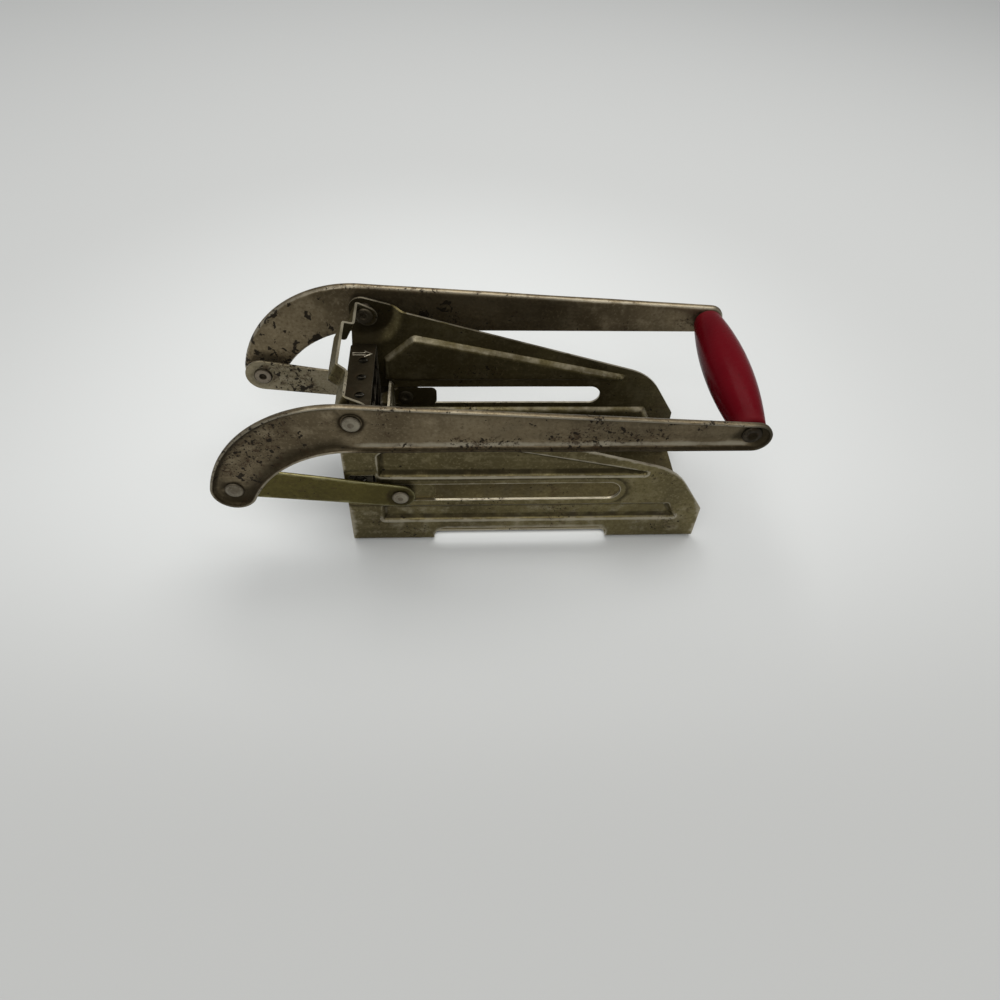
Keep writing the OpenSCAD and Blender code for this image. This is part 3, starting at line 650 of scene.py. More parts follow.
def body_map(q):
    """Outer face of the bent sheet and its outward direction, from blank points (x, s)."""
    x, side, a = q[:, 0], np.sign(q[:, 1]), np.abs(q[:, 1])
    turn = np.clip((a - FLAT) / BEND_R, 0, math.pi / 2)
    y = np.minimum(a, FLAT) + BEND_R * np.sin(turn)
    z = FOOT_H + BEND_R * (1 - np.cos(turn)) + np.maximum(a - FLAT - BEND_LEN, 0)
    n = np.column_stack((np.zeros_like(x), side * np.sin(turn), -np.cos(turn)))
    return np.column_stack((x, side * y, z)), n


def slot_outline(window_end):
    """Guide slot with the entry window at its front end."""
    low, top = np.array([SLOT_FRONT, SLOT_Z - SLOT_R]), np.array([SLOT_FRONT, WINDOW_TOP])
    rear, step = np.array([window_end, WINDOW_TOP]), np.array([window_end, SLOT_Z + SLOT_R])
    return np.vstack((
        corner(top, low, low + [1, 0], 1.0, 8),
        arc((SLOT_END, SLOT_Z), SLOT_R, -math.pi / 2, math.pi / 2, 16),
        corner(low, step, rear, 1.0, 8), corner(step, rear, top, 1.0, 8), corner(rear, top, low, 1.0, 8)))


SLOT = slot_outline(14.2)
FAR_SLOT = slot_outline(12.3)


def mirrored(loop, side):
    """Blank outline on one side of the middle, kept counter-clockwise."""
    out = loop * [1, side]
    return out[::-1] if side == NEAR else out


def on_side(loop, side):
    """Side-view outline (x, z) as blank outline (x, s)."""
    return mirrored(loop + [0, side_blank_s(0)], side)


def body_relief(q):
    """Outward displacement of the pressed features at blank points."""
    x, s = q[:, 0], np.abs(q[:, 1])
    z = s - side_blank_s(0)
    plate = z > FOOT_H + BEND_R
    w = np.column_stack((x, z))[plate]
    pressed = -PANEL_DEPTH * rise(depth_in(w, PANEL), 0.3, PANEL_WALL)
    pressed -= CHANNEL_DEPTH * rise(depth_in(w, CHANNEL), 0.3, CHANNEL_WALL)
    pressed += BOSS_H * fall(np.linalg.norm(w - PIVOT, axis=1), BOSS_R, BOSS_WALL)
    # the sheet is drawn in a little round the guide slot
    pressed -= SLOT_DRAW * fall(distance(w, SLOT), 3.0, 1.6) * rise(w[:, 0], 9, 8)
    d = np.zeros(len(q))
    d[plate] = pressed
    for cx in DIMPLES_X:
        d += np.where(plate, 0, FOOT_H * fall(np.hypot(x - cx, s - DIMPLE_Y), DIMPLE_R, 1.6))
    return d


def body_blank():
    """Outline and holes of the unrolled body, with guide loops along all that is pressed or bent."""
    top = [(x, side_blank_s(z), r) for x, z, r in SIDE_TOP]
    outline = rounded([(x, -s, r) for x, s, r in top] + [(x, s, r) for x, s, r in top[::-1]])
    (x0, x1), s1 = NOTCH_X, side_blank_s(NOTCH_TOP)
    notch = rounded([(x0, NOTCH_IN, 2), (x1, NOTCH_IN, 2), (x1, s1, 6), (x0, s1, 6)])
    holes, creases, lines = [], [], []
    for side, slot in ((NEAR, SLOT), (FAR, FAR_SLOT)):
        holes += [mirrored(notch, side), on_side(slot, side), on_side(PIVOT_HOLE, side)]
        for loop, depths in ((PANEL, (-1.2, -0.7, 0.3, 0.95, 1.6, 2.3, 3.1, 4.0)),
                             (CHANNEL, (-1.2, -0.7, 0.3, 0.9, 1.5, 2.2, 3.0, 3.9)),
                             (SLOT, (-1.4, -2.2, -3.1))):
            creases += [on_side(inset(loop, d), side) for d in depths]
        creases += [on_side(circle(PIVOT, r, 60), side) for r in (8.0, 13.2, 14.6, 16.4, 18.0, 19.6)]
        creases += [circle((x, side * DIMPLE_Y), r, 30) for x in DIMPLES_X for r in (1.6, 3.3, 4.1, DIMPLE_R)]
        for i in range(5):
            s = side * (FLAT + BEND_LEN * i / 4)
            lines.append(np.array([[-0.5, s], [BODY_LEN + 0.5, s]]))
    return outline, holes, creases, lines


def body_lines(borders):
    """Points on edges and crests, which wear and get painted highlights, and in valleys, which hold dirt and
    painted shade.
    """
    crests = [body_map(densify(loop, 1.5))[0] for loop in borders]
    valleys = []
    for side in (NEAR, FAR):
        for loop in (PANEL, CHANNEL):
            crests.append(body_map(on_side(densify(inset(loop, 0.5), 1.5), side))[0])
            p, n = body_map(on_side(densify(inset(loop, 2.4), 1.5), side))
            valleys.append(p - n * 2.2)
        p, n = body_map(on_side(circle(PIVOT, 13.6, 60), side))
        crests.append(p + n * 3.6)
        for loop in (circle(PIVOT, BOSS_R + 0.1, 60), densify(inset(SLOT, -3.6), 1.5)):
            valleys.append(body_map(on_side(loop, side))[0])
    return crests, valleys


def body_wear_and_light(p, n, wear_and_highlight, grime_and_shade):
    x, z = p[:, 0], p[:, 2]
    inner = np.where(z > 5, n[:, 1] * np.sign(p[:, 1]) < -0.05, n[:, 2] > 0.3)
    side = z > 6
    out = ~inner & side
    r = np.hypot(x - PIVOT[0], z - PIVOT[1])
    boss = fall(r, 23, 5)
    up = np.zeros(len(p))
    for loop, width, foot_end in ((PANEL, 2.5, 4.0), (CHANNEL, 2.3, 2.9)):
        depth = np.full(len(p), -99.0)
        depth[side] = depth_in(p[side][:, [0, 2]], loop)
        wall = rise(depth, -0.3, 0.4) * fall(depth, width, 0.5)
        up = np.maximum(up, wall * rise(n[:, 2], 0.05, 0.3))
        # outside: a light crest of worn metal and painted highlight, a dark foot of the wall of dirt and
        # painted shade, both strongest along the lower edge
        below = rise(depth, -2, 0.5) * fall(z, loop[:, 1].min() + 4.5, 2)
        crest = rise(depth, -1.1, 0.3) * fall(depth, 0.75, 0.3) * (0.35 + 0.65 * below)
        foot = rise(depth, 0.8, 0.4) * fall(depth, foot_end, 1.2) * (0.35 + 0.5 * below)
        wear_and_highlight = np.where(out, np.maximum(wear_and_highlight * (1 - foot), crest), wear_and_highlight)
        grime_and_shade = np.where(out, np.maximum(grime_and_shade * (1 - crest), foot), grime_and_shade)
    # painted shade: the inside of the trough is painted dark, darkest at its floor, and painted highlights
    # make its walls that look up bright
    grime_and_shade = np.where(inner, np.maximum(grime_and_shade * 0.6, 0.56 + 0.44 * boss) * (1 - up), grime_and_shade)
    grime_and_shade = np.maximum(grime_and_shade, np.where(inner & (z < 9), 0.62, 0))
    # outside: the foot is painted lighter as a painted highlight, the band round the slot is duller
    wear_and_highlight = np.maximum(wear_and_highlight, 0.55 * out * fall(z, 27, 3))
    grime_and_shade = np.maximum(grime_and_shade, 0.22 * out * rise(z, 28, 2) * fall(z, 46, 2))
    # inside: a painted highlight, a light ring round the rear of the boss
    glow = rise(r, 12.5, 3) * fall(r, 20.5, 3) * rise(x, PIVOT[0] + 4, 8)
    grime_and_shade = np.where(inner, grime_and_shade * (1 - 0.75 * glow), grime_and_shade)
    wear_in = np.maximum(wear_and_highlight * 0.4 * (1 - boss), np.maximum(0.6 * up, 0.4 * glow))
    return np.where(inner, wear_in, wear_and_highlight * 0.9), grime_and_shade


# rust clusters: front of the channel's wall, rear corner, round the rear end of the slot
BODY_PITS = ((100, 22, 12, 4), (120, 37, 9, 4), (165, 21, 8, 9), (158, 12, 10, 5), (146, 47, 7, 3),
             (12, 15, 4, 14), (60, 28, 14, 3))


def make_body():
    outline, holes, creases, lines = body_blank()
    q, f = blank(outline, holes, creases, lines)
    p, n = body_map(q)
    # the sheet is a little wavy, away from its edges and bends
    wave = 0.15 * waves(np.column_stack((q * 0.022, np.full(len(q), 3.7))))
    wave *= np.clip(distance(q, outline) / 10, 0, 1) * (np.abs(q[:, 1]) > FLAT + 8)
    p = p + n * (body_relief(q) + wave)[:, None]
    # faces turned to look outward, so the thickness goes inward
    o = to_object("body_sheet", p, f[:, ::-1], "base", "plated_body", ["body_shell"])
    finish_surface(o, 0.28, SHEET)
    wear_grime_and_painted_light(o, *body_lines([outline] + holes), 1.5, 1.9, body_wear_and_light)
    p = points_mm(o)[0]
    paint(o, "pits", sum(blob(p, *spot) for spot in BODY_PITS))


def make_lip(side):
    """Narrow lip turned inward at the front edge, drawn as (inward, up)."""
    q = rounded([(0.3, 2.2, 0.9), (2.7, 2.2, 0.6), (2.7, 62, 1.6), (0.3, 62, 0.9)])
    v, f = blank(q, step=2.0)
    p = np.column_stack((np.full(len(v), 0.62), side * (SIDE_IN + 0.5 - v[:, 0]), v[:, 1]))
    if side == FAR:
        f = f[:, ::-1]
    o = to_object("front_lip_" + side_name(side), p, f, "base", "plated_body")
    finish_surface(o, 0.3, 1.15, 0)
    wear_grime_and_painted_light(o, wear_and_highlight_reach=1.5)


# ---- lever arms
ARM_TAPER = math.radians(3.5)
ARM_TOP = 10.6
HOOK_R, OUTER_R, INNER_R = 10.3, 62.5, 51.0
RIM_H = 17  # from the arm's lower edge to where its top flange begins


def arm_ring(d):
    """Side-view outline inset by d: rear end, top edge, outer curve, hook, inner curve and lower edge."""
    along = np.array([math.cos(ARM_TAPER), -math.sin(ARM_TAPER)])
    up = np.array([math.sin(ARM_TAPER), math.cos(ARM_TAPER)])
    top = ARM_TOP * math.cos(ARM_TAPER)
    drop = top - OUTER_R
    reach = math.sqrt((OUTER_R - HOOK_R) ** 2 - (drop - (HOOK - PIVOT) @ up) ** 2)
    outer_c = PIVOT + along * ((HOOK - PIVOT) @ along + reach) + up * drop
    inner_z = ARM_LOW - INNER_R
    inner_x = HOOK[0] + math.sqrt((INNER_R + HOOK_R) ** 2 - (inner_z - HOOK[1]) ** 2)
    inner_c = np.array([inner_x, inner_z])
    end_r = (top - up @ (np.array([ARM_END, ARM_LOW]) - PIVOT)) / (1 + up[1] - up[0])
    a_up = direction(up)
    a_hook = a_up + (direction(HOOK - outer_c) - a_up) % (2 * math.pi)
    a_in = a_hook + (direction(inner_c - HOOK) - a_hook) % (2 * math.pi)
    end = arc((ARM_END - end_r, ARM_LOW + end_r), end_r - d, -math.pi / 2, a_up, 26)
    outer = arc(outer_c, OUTER_R - d, a_up, a_hook, 40)
    hook = arc(HOOK, HOOK_R - d, a_hook, a_in, 26)
    inner = arc(inner_c, INNER_R + d, direction(HOOK - inner_c), math.pi / 2, 34)
    top_edge, low_edge = run(end[-1], outer[0], 84), run(inner[-1], end[0], 84)
    return np.vstack((end, top_edge, outer, hook[1:], inner[1:], low_edge))


def plate(section, ring, holes, side, step, creases=()):
    """Closed skin from a section of (inset, distance from the middle), outer web first."""
    rings, heights = [ring(d) for d, _ in section], [h for _, h in section]
    parts = [loft(rings, heights, side), web(rings[0], holes, heights[0], side, step, creases),
             web(rings[-1], holes, heights[-1], side, step)]
    return join_parts(parts + [loft([hole, hole], [heights[0], heights[-1]], side) for hole in holes])


def arm_skin(side):
    section = [(SHEET + 2.0, WEB_OUT), (SHEET + 1.0, WEB_OUT + 0.25), (SHEET + 0.35, WEB_OUT + 0.8),
               (SHEET, WEB_OUT + 1.6), (SHEET, FLANGE_OUT - 0.45), (SHEET - 0.2, FLANGE_OUT - 0.08),
               (0.6, FLANGE_OUT), (0.2, FLANGE_OUT - 0.1), (0, FLANGE_OUT - 0.5), (0, WEB_IN + 2.1),
               (0.15, WEB_IN + 1.3), (0.6, WEB_IN + 0.55), (1.2, WEB_IN + 0.15), (2.1, WEB_IN)]
    holes = [circle(PIVOT, 3.05, 36), circle(HOOK, 2.6, 32), circle(ROD, 3.0, 32)]
    v, f = plate(section, arm_ring, holes, side, 2.6, [circle(PIVOT, r, 40) for r in (4.2, 4.7, 5.15, 5.6)])
    # shallow groove round the pivot, in the outer face of the web
    r, off = np.linalg.norm(v[:, [0, 2]] - PIVOT, axis=1), np.abs(v[:, 1])
    v[:, 1] -= side * 0.5 * fall(r, 5.6, 0.7) * rise(r, 3.9, 0.5) * (off > WEB_OUT - SLIP)
    # the flange leans inward by a few tenths and isn't quite even
    rim = np.clip((off - WEB_OUT) / (FLANGE_OUT - WEB_OUT), 0, 1)
    seed = 1.3 if side == NEAR else 8.1
    v[:, 1] -= side * rim * (0.25 + 0.25 * waves(upright(v[:, [0, 2]] * 0.035, seed)))
    return v, f


def near_arm_dirt_and_shade(p, out, crests, wear_and_highlight, grime_and_shade):
    """What the near arm's outer face has beside what both arms get: painted shade, painted highlights and a
    darker rear.
    """
    x, z, off = p[:, 0], p[:, 2], np.abs(p[:, 1])
    edge = arm_ring(SHEET + 1.2)
    edge = edge[(edge[:, 0] < 14) & (np.linalg.norm(edge - PIVOT - [-2, -60], axis=1) < 56)]
    bay = near_field(p, [upright(edge, NEAR * WEB_OUT)], 9.5) * (off < WEB_OUT + 1.2)
    # darker towards the rear; painted shade round the rod's end, at the lower left, and along the rim and
    # inner curve of the hook
    for dirt_and_shade in (0.42 * rise(x, 20, 60), 0.95 * fall(np.hypot(x - ROD[0] - 2, z - ROD[1] + 3), 14.5, 7),
                 0.8 * fall(z, HOOK[1] + 6, 13) * fall(x, HOOK[0] + 14, 16),
                 0.5 * near_field(p, crests[:1], 6.0) * fall(x, -8, 12) * out, 0.95 * bay * fall(x, 12, 14)):
        grime_and_shade = np.maximum(grime_and_shade, dirt_and_shade)
    # lower flange: a painted highlight along its root, painted shade on its edge
    height = z - ARM_LOW
    straight = rise(x, 2, 12) * fall(x, ARM_END - 4, 8) * (height < 6)
    line = rise(height, 1.7, 0.5) * fall(height, 3.9, 0.6) * straight * out
    dark = fall(height, 1.9, 0.4) * straight * (off > WEB_IN + 1)
    return np.maximum(wear_and_highlight * (1 - dark), 0.85 * line), np.maximum(grime_and_shade * (1 - line), 0.85 * dark)


def make_arm(side):
    name = side_name(side)
    o = to_object("arm_sheet_" + name, *arm_skin(side), "lever", "plated_arm", ["lever_arm_" + name])
    turn_outward(o, 0.015)
    finish_surface(o)
    crests = [upright(arm_ring(0.6), side * FLANGE_OUT), upright(arm_ring(0.3), side * (WEB_IN + 0.7))]
    valleys = [upright(arm_ring(SHEET + 0.8), side * (WEB_OUT + 0.5))]
    valleys += [upright(circle(c, r, 36), side * WEB_OUT)
                for c, r in ((PIVOT, 4.9), (PIVOT, 4.4), (HOOK, 4.8), (ROD, 5.0))]

    def refine(p, n, wear_and_highlight, grime_and_shade):
        x, z, off = p[:, 0], p[:, 2], np.abs(p[:, 1])
        out = off > WEB_OUT - 0.6
        r = np.hypot(x - PIVOT[0], z - PIVOT[1])
        grime_and_shade = np.where(r < 9, np.where(out, fall(r, 5.9, 0.5) * rise(r, 4.1, 0.4), 0.3), grime_and_shade)
        # painted shade and painted reflection of the dark trough: the face that looks into the trough is
        # darkened
        face = (n[:, 1] * side < -0.5) & (z > ARM_LOW - 20)
        grime_and_shade = np.maximum(grime_and_shade, 0.72 * face * rise(x, -12, 26) * (1 - 0.8 * rise(x, 95, 40)))
        if side == NEAR:
            wear_and_highlight, grime_and_shade = near_arm_dirt_and_shade(p, out, crests, wear_and_highlight, grime_and_shade)
        # painted highlight: the flange faces that look up are lighter
        return np.maximum(wear_and_highlight, 0.45 * rise(off, WEB_OUT + 0.6, 0.8) * (n[:, 2] > 0.4)), grime_and_shade

    wear_grime_and_painted_light(o, crests, valleys, 2.0, 2.6, refine, edges=False)
    p = points_mm(o)[0]
    # pits: round the hook, along the top edge and in a few patches. The far arm also flakes.
    rim = 0.6 * near_field(p, crests, 3.0) * np.clip((p[:, 2] - (ARM_LOW + RIM_H)) / 8, 0, 1)
    if side == NEAR:
        hook = 0.75 * blob(p, HOOK[0] + 8, HOOK[1] + 12, 22, 22)
        spots = ((2, 87, 7, 7), (118, 80, 14, 5), (70, 76, 18, 3))
    else:
        rusty = blob(p, HOOK[0] + 8, HOOK[1] + 12, 28, 28)
        hook = 0.6 * rusty
        spots = ((44, 78, 20, 6), (176, 78, 12, 5))
        paint(o, "flakes", np.maximum(np.minimum(1.5 * rusty, 0.77), blob(p, 42, 81, 15, 7)))
    paint(o, "pits", np.maximum(np.maximum(hook, rim), sum(blob(p, *spot) for spot in spots)))


# ---- links
def link_ring(d):
    hook_end, stud_end = belt(STUD, 6.9 - d, HOOK, 9.2 - d, 26)
    return np.vstack((hook_end, run(hook_end[-1], stud_end[0], 40),
                      stud_end, run(stud_end[-1], hook_end[0], 40)))


def make_link(side):
    name = side_name(side)
    edge = 0.45
    section = [(edge, LINK_OUT), (edge * 0.3, LINK_OUT - edge * 0.3), (0, LINK_OUT - edge),
               (0, LINK_IN + edge), (edge * 0.3, LINK_IN + edge * 0.3), (edge, LINK_IN)]
    v, f = plate(section, link_ring, [circle(STUD, 2.55, 32), circle(HOOK, 2.6, 32)], side, 2.4)
    # the near strap takes the darker olive copy, painted shade and painted reflection
    o = to_object("strap_" + name, v, f, name + "_link", "plated_link", ["link_" + name],
                  "plated_link" if side == NEAR else "plated_link_far")
    turn_outward(o, 0.015)
    finish_surface(o)
    rim = upright(link_ring(0.1), side * (LINK_OUT - 0.1))
    eyes = [upright(circle(c, r, 20), side * LINK_OUT) for c, r in ((STUD, 5.2), (HOOK, 5.6))]
    wear_grime_and_painted_light(o, [rim], eyes, 1.8, 3.0, edges=False)
    p = points_mm(o)[0]
    if side == NEAR:
        paint(o, "pits", np.full(len(p), 0.4))
        return
    # the far strap is rusty, most of all along the middle of its lower edge
    middle = HOOK[1] + (p[:, 0] - HOOK[0]) * (STUD[1] - HOOK[1]) / (STUD[0] - HOOK[0])
    rusty = np.exp(-((p[:, 0] + 29) / 12) ** 2)
    paint(o, "pits", rusty)
    paint(o, "flakes", rusty * (0.55 + 0.55 * fall(p[:, 2], middle - 2, 3)))


# ---- bent strips
class Path:
    """Middle line of a bent strip, followed by its length, with its left normal."""

    def __init__(self, points, n):
        p = rounded(points, n)
        keep = np.linalg.norm(np.diff(p, axis=0), axis=1) > 1e-9
        self.p = p[np.concatenate(([True], keep))]
        along = np.diff(self.p, axis=0)
        lengths = np.linalg.norm(along, axis=1)
        self.u = np.concatenate(([0], np.cumsum(lengths)))
        self.length = self.u[-1]
        t = along / lengths[:, None]
        t = np.vstack((t[:1], t[:-1] + t[1:], t[-1:]))
        t /= np.linalg.norm(t, axis=1)[:, None]
        self.n = np.column_stack((-t[:, 1], t[:, 0]))

    def at(self, u):
        """Points and normals at lengths along the strip."""
        x, y, nx, ny = (np.interp(u, self.u, column) for column in np.hstack((self.p, self.n)).T)
        k = np.hypot(nx, ny)
        return np.column_stack((x, y)), np.column_stack((nx / k, ny / k))

    def lines(self, start, end):
        """Guide lines across the blank at every bend point."""
        return [np.array([[u, start], [u, end]]) for u in self.u[1:-1]]


def make_keeper():
    # drawn as (across, outward, radius) from the far leg to the near one, so the left normal points inward
    half = [(LEG_OUT, -6.5, 0), (LEG_OUT, 6.6, 1.9), (17.7, 6.6, 1.6), (15.9, 11.6, 1.9)]
    path = Path(half + [(-y, h, r) for y, h, r in half[::-1]], 6)
    half_w, eye = 5.0, 6.5
    outline = box_outline(0, -half_w, path.length, half_w, half_w - 0.02, 14)
    holes = [circle((u, 0), 2.45, 30) for u in (eye, path.length - eye)]
    q, f = blank(outline, holes, (), path.lines(-half_w - 0.2, half_w + 0.2), step=1.7)
    c = path.at(q[:, 0])[0]
    tilt = math.radians(27)
    x = PIVOT[0] - c[:, 1] * math.cos(tilt) - q[:, 1] * math.sin(tilt)
    z = PIVOT[1] + c[:, 1] * math.sin(tilt) - q[:, 1] * math.cos(tilt)
    v = np.column_stack((x, c[:, 0], z))
    o = to_object("keeper_strip", v, f, "keeper", "plated_body", ["cutter_keeper"])
    turn_away(o, (PIVOT[0] + 6, 0, PIVOT[1] - 6))
    finish_surface(o, 0.28, SHEET)

    def refine(p, n, wear_and_highlight, grime_and_shade):
        # darker all over, and the faces that look inward are painted dark as painted shade
        inward = (np.abs(n[:, 1]) > 0.6) & (n[:, 1] * p[:, 1] < 0)
        return wear_and_highlight * 0.8, np.maximum(grime_and_shade, np.where(inward, 0.75, 0.38))

    wear_grime_and_painted_light(o, wear_and_highlight_reach=1.7, refine=refine)
    paint(o, "pits", 1.5 * np.exp(-((points_mm(o)[0][:, 1] + 15) / 7) ** 2) + 0.4)


# ---- cutting grid's frame
FRAME_BEND = 2.4
HOLE_R = 2.2
ARROW = np.array([[0, -0.8], [5.9, -0.8], [5.9, -2.0], [9.2, 0], [5.9, 2.0], [5.9, 0.8], [0, 0.8]])
ARROW_Y = 2 * CELL - 1.6
ARROW_X = (FRAME_FRONT + FRAME_BACK) / 2 - 5.2


def frame_holes(total):
    """Centres of the blades' tab holes on the strip, as (length, X)."""
    across = [CELL * (i - 1.5) for i in range(4)]
    wall = FRAME_HALF - FRAME_BEND + FRAME_BEND * math.pi / 2  # length at which a side wall begins
    up = [wall + (SLOT_Z + z - FRAME_BOTTOM - FRAME_BEND) for z in across]
    lengths = up + [total / 2 + y for y in across] + [total - u for u in up] + [y % total for y in across]
    return [(u, BLADE_MID) for u in lengths]


def on_strip(path, q, depth=0.0):
    """Frame points from blank points (length, X), sunk into the strip by a depth."""
    c, n = path.at(q[:, 0])
    return np.column_stack((q[:, 1], c + n * np.reshape(depth, (-1, 1))))


def make_frame():
    # walked counter-clockwise from the bottom's middle, so the left normal points inward
    half = [(0, FRAME_BOTTOM, 0), (FRAME_HALF, FRAME_BOTTOM, FRAME_BEND), (FRAME_HALF, FRAME_TOP, FRAME_BEND)]
    path = Path(half + [(-y, z, r) for y, z, r in half[::-1]], 7)
    total, mid, x0, x1 = path.length, path.length / 2, FRAME_FRONT, FRAME_BACK
    tab, trim = 31.6, 0.06
    outline = rounded([(trim, x0, 0), (mid - tab, x0, 0.5), (mid - tab, 0, 1.0), (mid + tab, 0, 1.0),
                       (mid + tab, x0, 0.5), (total - trim, x0, 0), (total - trim, x1, 0), (trim, x1, 0)], 6)
    centres = frame_holes(total)
    creases = [circle(c, r, 30) for c in centres for r in (2.65, 3.2)]
    arrow = np.column_stack((mid - (ARROW_Y + ARROW[:, 1]), ARROW_X + ARROW[:, 0]))
    # fine mesh where the arrow is cut in
    fine, left, right = 0.32, mid - ARROW_Y - 2.6, mid - ARROW_Y + 2.6
    lines = path.lines(-0.3, x1 + 0.3)
    lines += [np.array([[u, ARROW_X - 0.6], [u, ARROW_X + 9.8]]) for u in np.arange(left, right + 0.1, fine)]
    lines += [np.array([[left, x], [right, x]]) for x in np.arange(ARROW_X - 0.6, ARROW_X + 9.9, fine)]
    q, f = blank(outline, [circle(c, HOLE_R, 30) for c in centres], creases, lines, step=1.9)
    sunk = 0.25 * fall(distance(q, arrow), 0.5, 0.3)
    for u, x in centres:
        sunk += 0.28 * fall(np.hypot(q[:, 0] - u, q[:, 1] - x), 3.3, 1.0)
    o = to_object("grid_frame", on_strip(path, q, sunk), f, "cutting_grid", "cutter_steel", ["cutter_frame"])
    turn_away(o, (None, 0, (FRAME_TOP + FRAME_BOTTOM) / 2))
    finish_surface(o, 0.25, 1.4)
    rims = [on_strip(path, circle(c, 2.9, 20)) for c in centres]
    bores = [on_strip(path, circle(c, HOLE_R - 0.1, 20), 0.7) for c in centres]
    cut = [on_strip(path, densify(arrow, 0.4))]

    def refine(p, n, wear_and_highlight, grime_and_shade):
        # the top of the frame is darker; round the cut-in arrow it is painted darker still as painted shade,
        # and the arrow's edges get a painted highlight
        top = (p[:, 2] > FRAME_TOP - 0.7) & (n[:, 2] > 0.2)
        cut_highlight = smooth(near_field(p, cut, 0.75) * 2.6 - 0.5) * top
        dirt_and_shade = np.clip(near_field(p, cut, 1.4) * 2, 0, 1)
        bore = np.clip(near_field(p, bores, 1.1) * 2, 0, 1)
        grime_and_shade = np.maximum(grime_and_shade, np.where(top, 0.85 + 0.1 * dirt_and_shade, 0.3)) * (1 - cut_highlight)
        wear_and_highlight = np.maximum(wear_and_highlight * np.where(top, 0.35, 1.0) * (1 - bore), cut_highlight)
        return wear_and_highlight, np.maximum(grime_and_shade, bore)

    wear_grime_and_painted_light(o, rims, (), 1.4, 2.0, refine)


# ---- push plate
PLATE_X = 18.6
PLATE_BEND = 1.8
PLATE_FLAT = WING_OUT - PLATE_BEND
PLATE_HALF, PLATE_SHOULDER, PLATE_TOP, PLATE_TOP_HALF = 32.4, 46, 58, 20
WING_LOW, WING_H, WING_END = SLOT_Z - 5.25, 10.5, 42.0
PAD_HALF, PAD_H = 4.8, 4.05


def pad_centres():
    """Pads of the cells that fit on the plate."""
    pads = []
    for i in range(5):
        for j in range(5):
            y, z = (i - 2) * CELL, SLOT_Z + (j - 2) * CELL
            limit = PLATE_HALF
            if z + PAD_HALF >= PLATE_SHOULDER:
                slope = (PLATE_HALF - PLATE_TOP_HALF) / (PLATE_TOP - PLATE_SHOULDER)
                limit = PLATE_TOP_HALF + (PLATE_TOP - z) * slope
            if z + PAD_HALF < PLATE_TOP and abs(y) + PAD_HALF < limit:
                pads.append((y, z))
    return pads


def pad_outline(pad, half, r, n):
    return box_outline(pad[0] - half, pad[1] - half, pad[0] + half, pad[1] + half, r, n)


def plate_blank(pads):
    bend_len = PLATE_BEND * math.pi / 2
    start = PLATE_FLAT + bend_len - PLATE_X - PLATE_BEND  # adds up with X to the length on a wing
    low, high, reach = WING_LOW, WING_LOW + WING_H, start + WING_END
    half = [(PLATE_HALF, FOOT_H + SHEET + 0.8, 2), (PLATE_HALF, low, 0.4), (reach, low, 3.0),
            (reach, high, 3.0), (PLATE_HALF, high, 0.4), (PLATE_HALF, PLATE_SHOULDER, 3),
            (PLATE_TOP_HALF, PLATE_TOP, 3)]
    outline = rounded(half + [(-s, z, r) for s, z, r in half[::-1]], 7)
    holes = [circle((side * (start + STUD[0]), SLOT_Z), 2.5, 30) for side in (NEAR, FAR)]
    bends = [side * (PLATE_FLAT + bend_len * i / 4) for side in (NEAR, FAR) for i in range(5)]
    lines = [np.array([[s, low - 3], [s, high + 3]]) for s in bends]
    creases = [pad_outline(pad, h, r, 4) for pad in pads
               for h, r in ((5.05, 2.0), (4.75, 1.7), (4.35, 1.4), (3.9, 1.1), (3.4, 0.8))]
    return blank(outline, holes, creases, lines, step=1.8)


def make_pusher():
    pads = pad_centres()
    q, f = plate_blank(pads)
    s, z = q[:, 0], q[:, 1]
    a, side = np.abs(s), np.sign(s)
    turn = np.clip((a - PLATE_FLAT) / PLATE_BEND, 0, math.pi / 2)
    y = side * (np.minimum(a, PLATE_FLAT) + PLATE_BEND * np.sin(turn))
    x = PLATE_X + PLATE_BEND * (1 - np.cos(turn)) + np.maximum(a - PLATE_FLAT - PLATE_BEND * math.pi / 2, 0)
    d = np.zeros(len(q))
    for py, pz in pads:
        t = np.hypot(np.maximum(np.abs(s - py) - 3.5, 0), np.maximum(np.abs(z - pz) - 3.5, 0))
        crown = 0.25 * np.clip(1 - ((s - py) ** 2 + (z - pz) ** 2) / 40, 0, 1)
        d = np.maximum(d, PAD_H * fall(t, 1.55, 1.55) + crown * fall(t, 1.0, 1.0))
    v = np.column_stack((x - np.cos(turn) * d, y + side * np.sin(turn) * d, z))
    o = to_object("push_sheet", v, f, "pusher", "plated_body", ["push_plate"])
    turn_away(o, (30.0, 0, None))
    finish_surface(o, 0.25, SHEET)
    tops, feet = ([np.insert(densify(pad_outline(pad, half, 1, 3), 1.0), 0, at, 1) for pad in pads]
                  for half, at in ((3.8, PLATE_X - 4.1), (5.2, PLATE_X - 0.2)))

    def refine(p, n, wear_and_highlight, grime_and_shade):
        # painted shade: the wings inside the body are painted darker, the far one most
        wing = p[:, 0] > PLATE_X + 3
        dirt_and_shade = np.where(p[:, 1] < 0, 0.35, 0.8)
        return np.where(wing, wear_and_highlight * 0.5, wear_and_highlight), np.where(wing, np.maximum(grime_and_shade, dirt_and_shade), grime_and_shade)

    wear_grime_and_painted_light(o, tops, feet, 1.5, 2.4, refine)


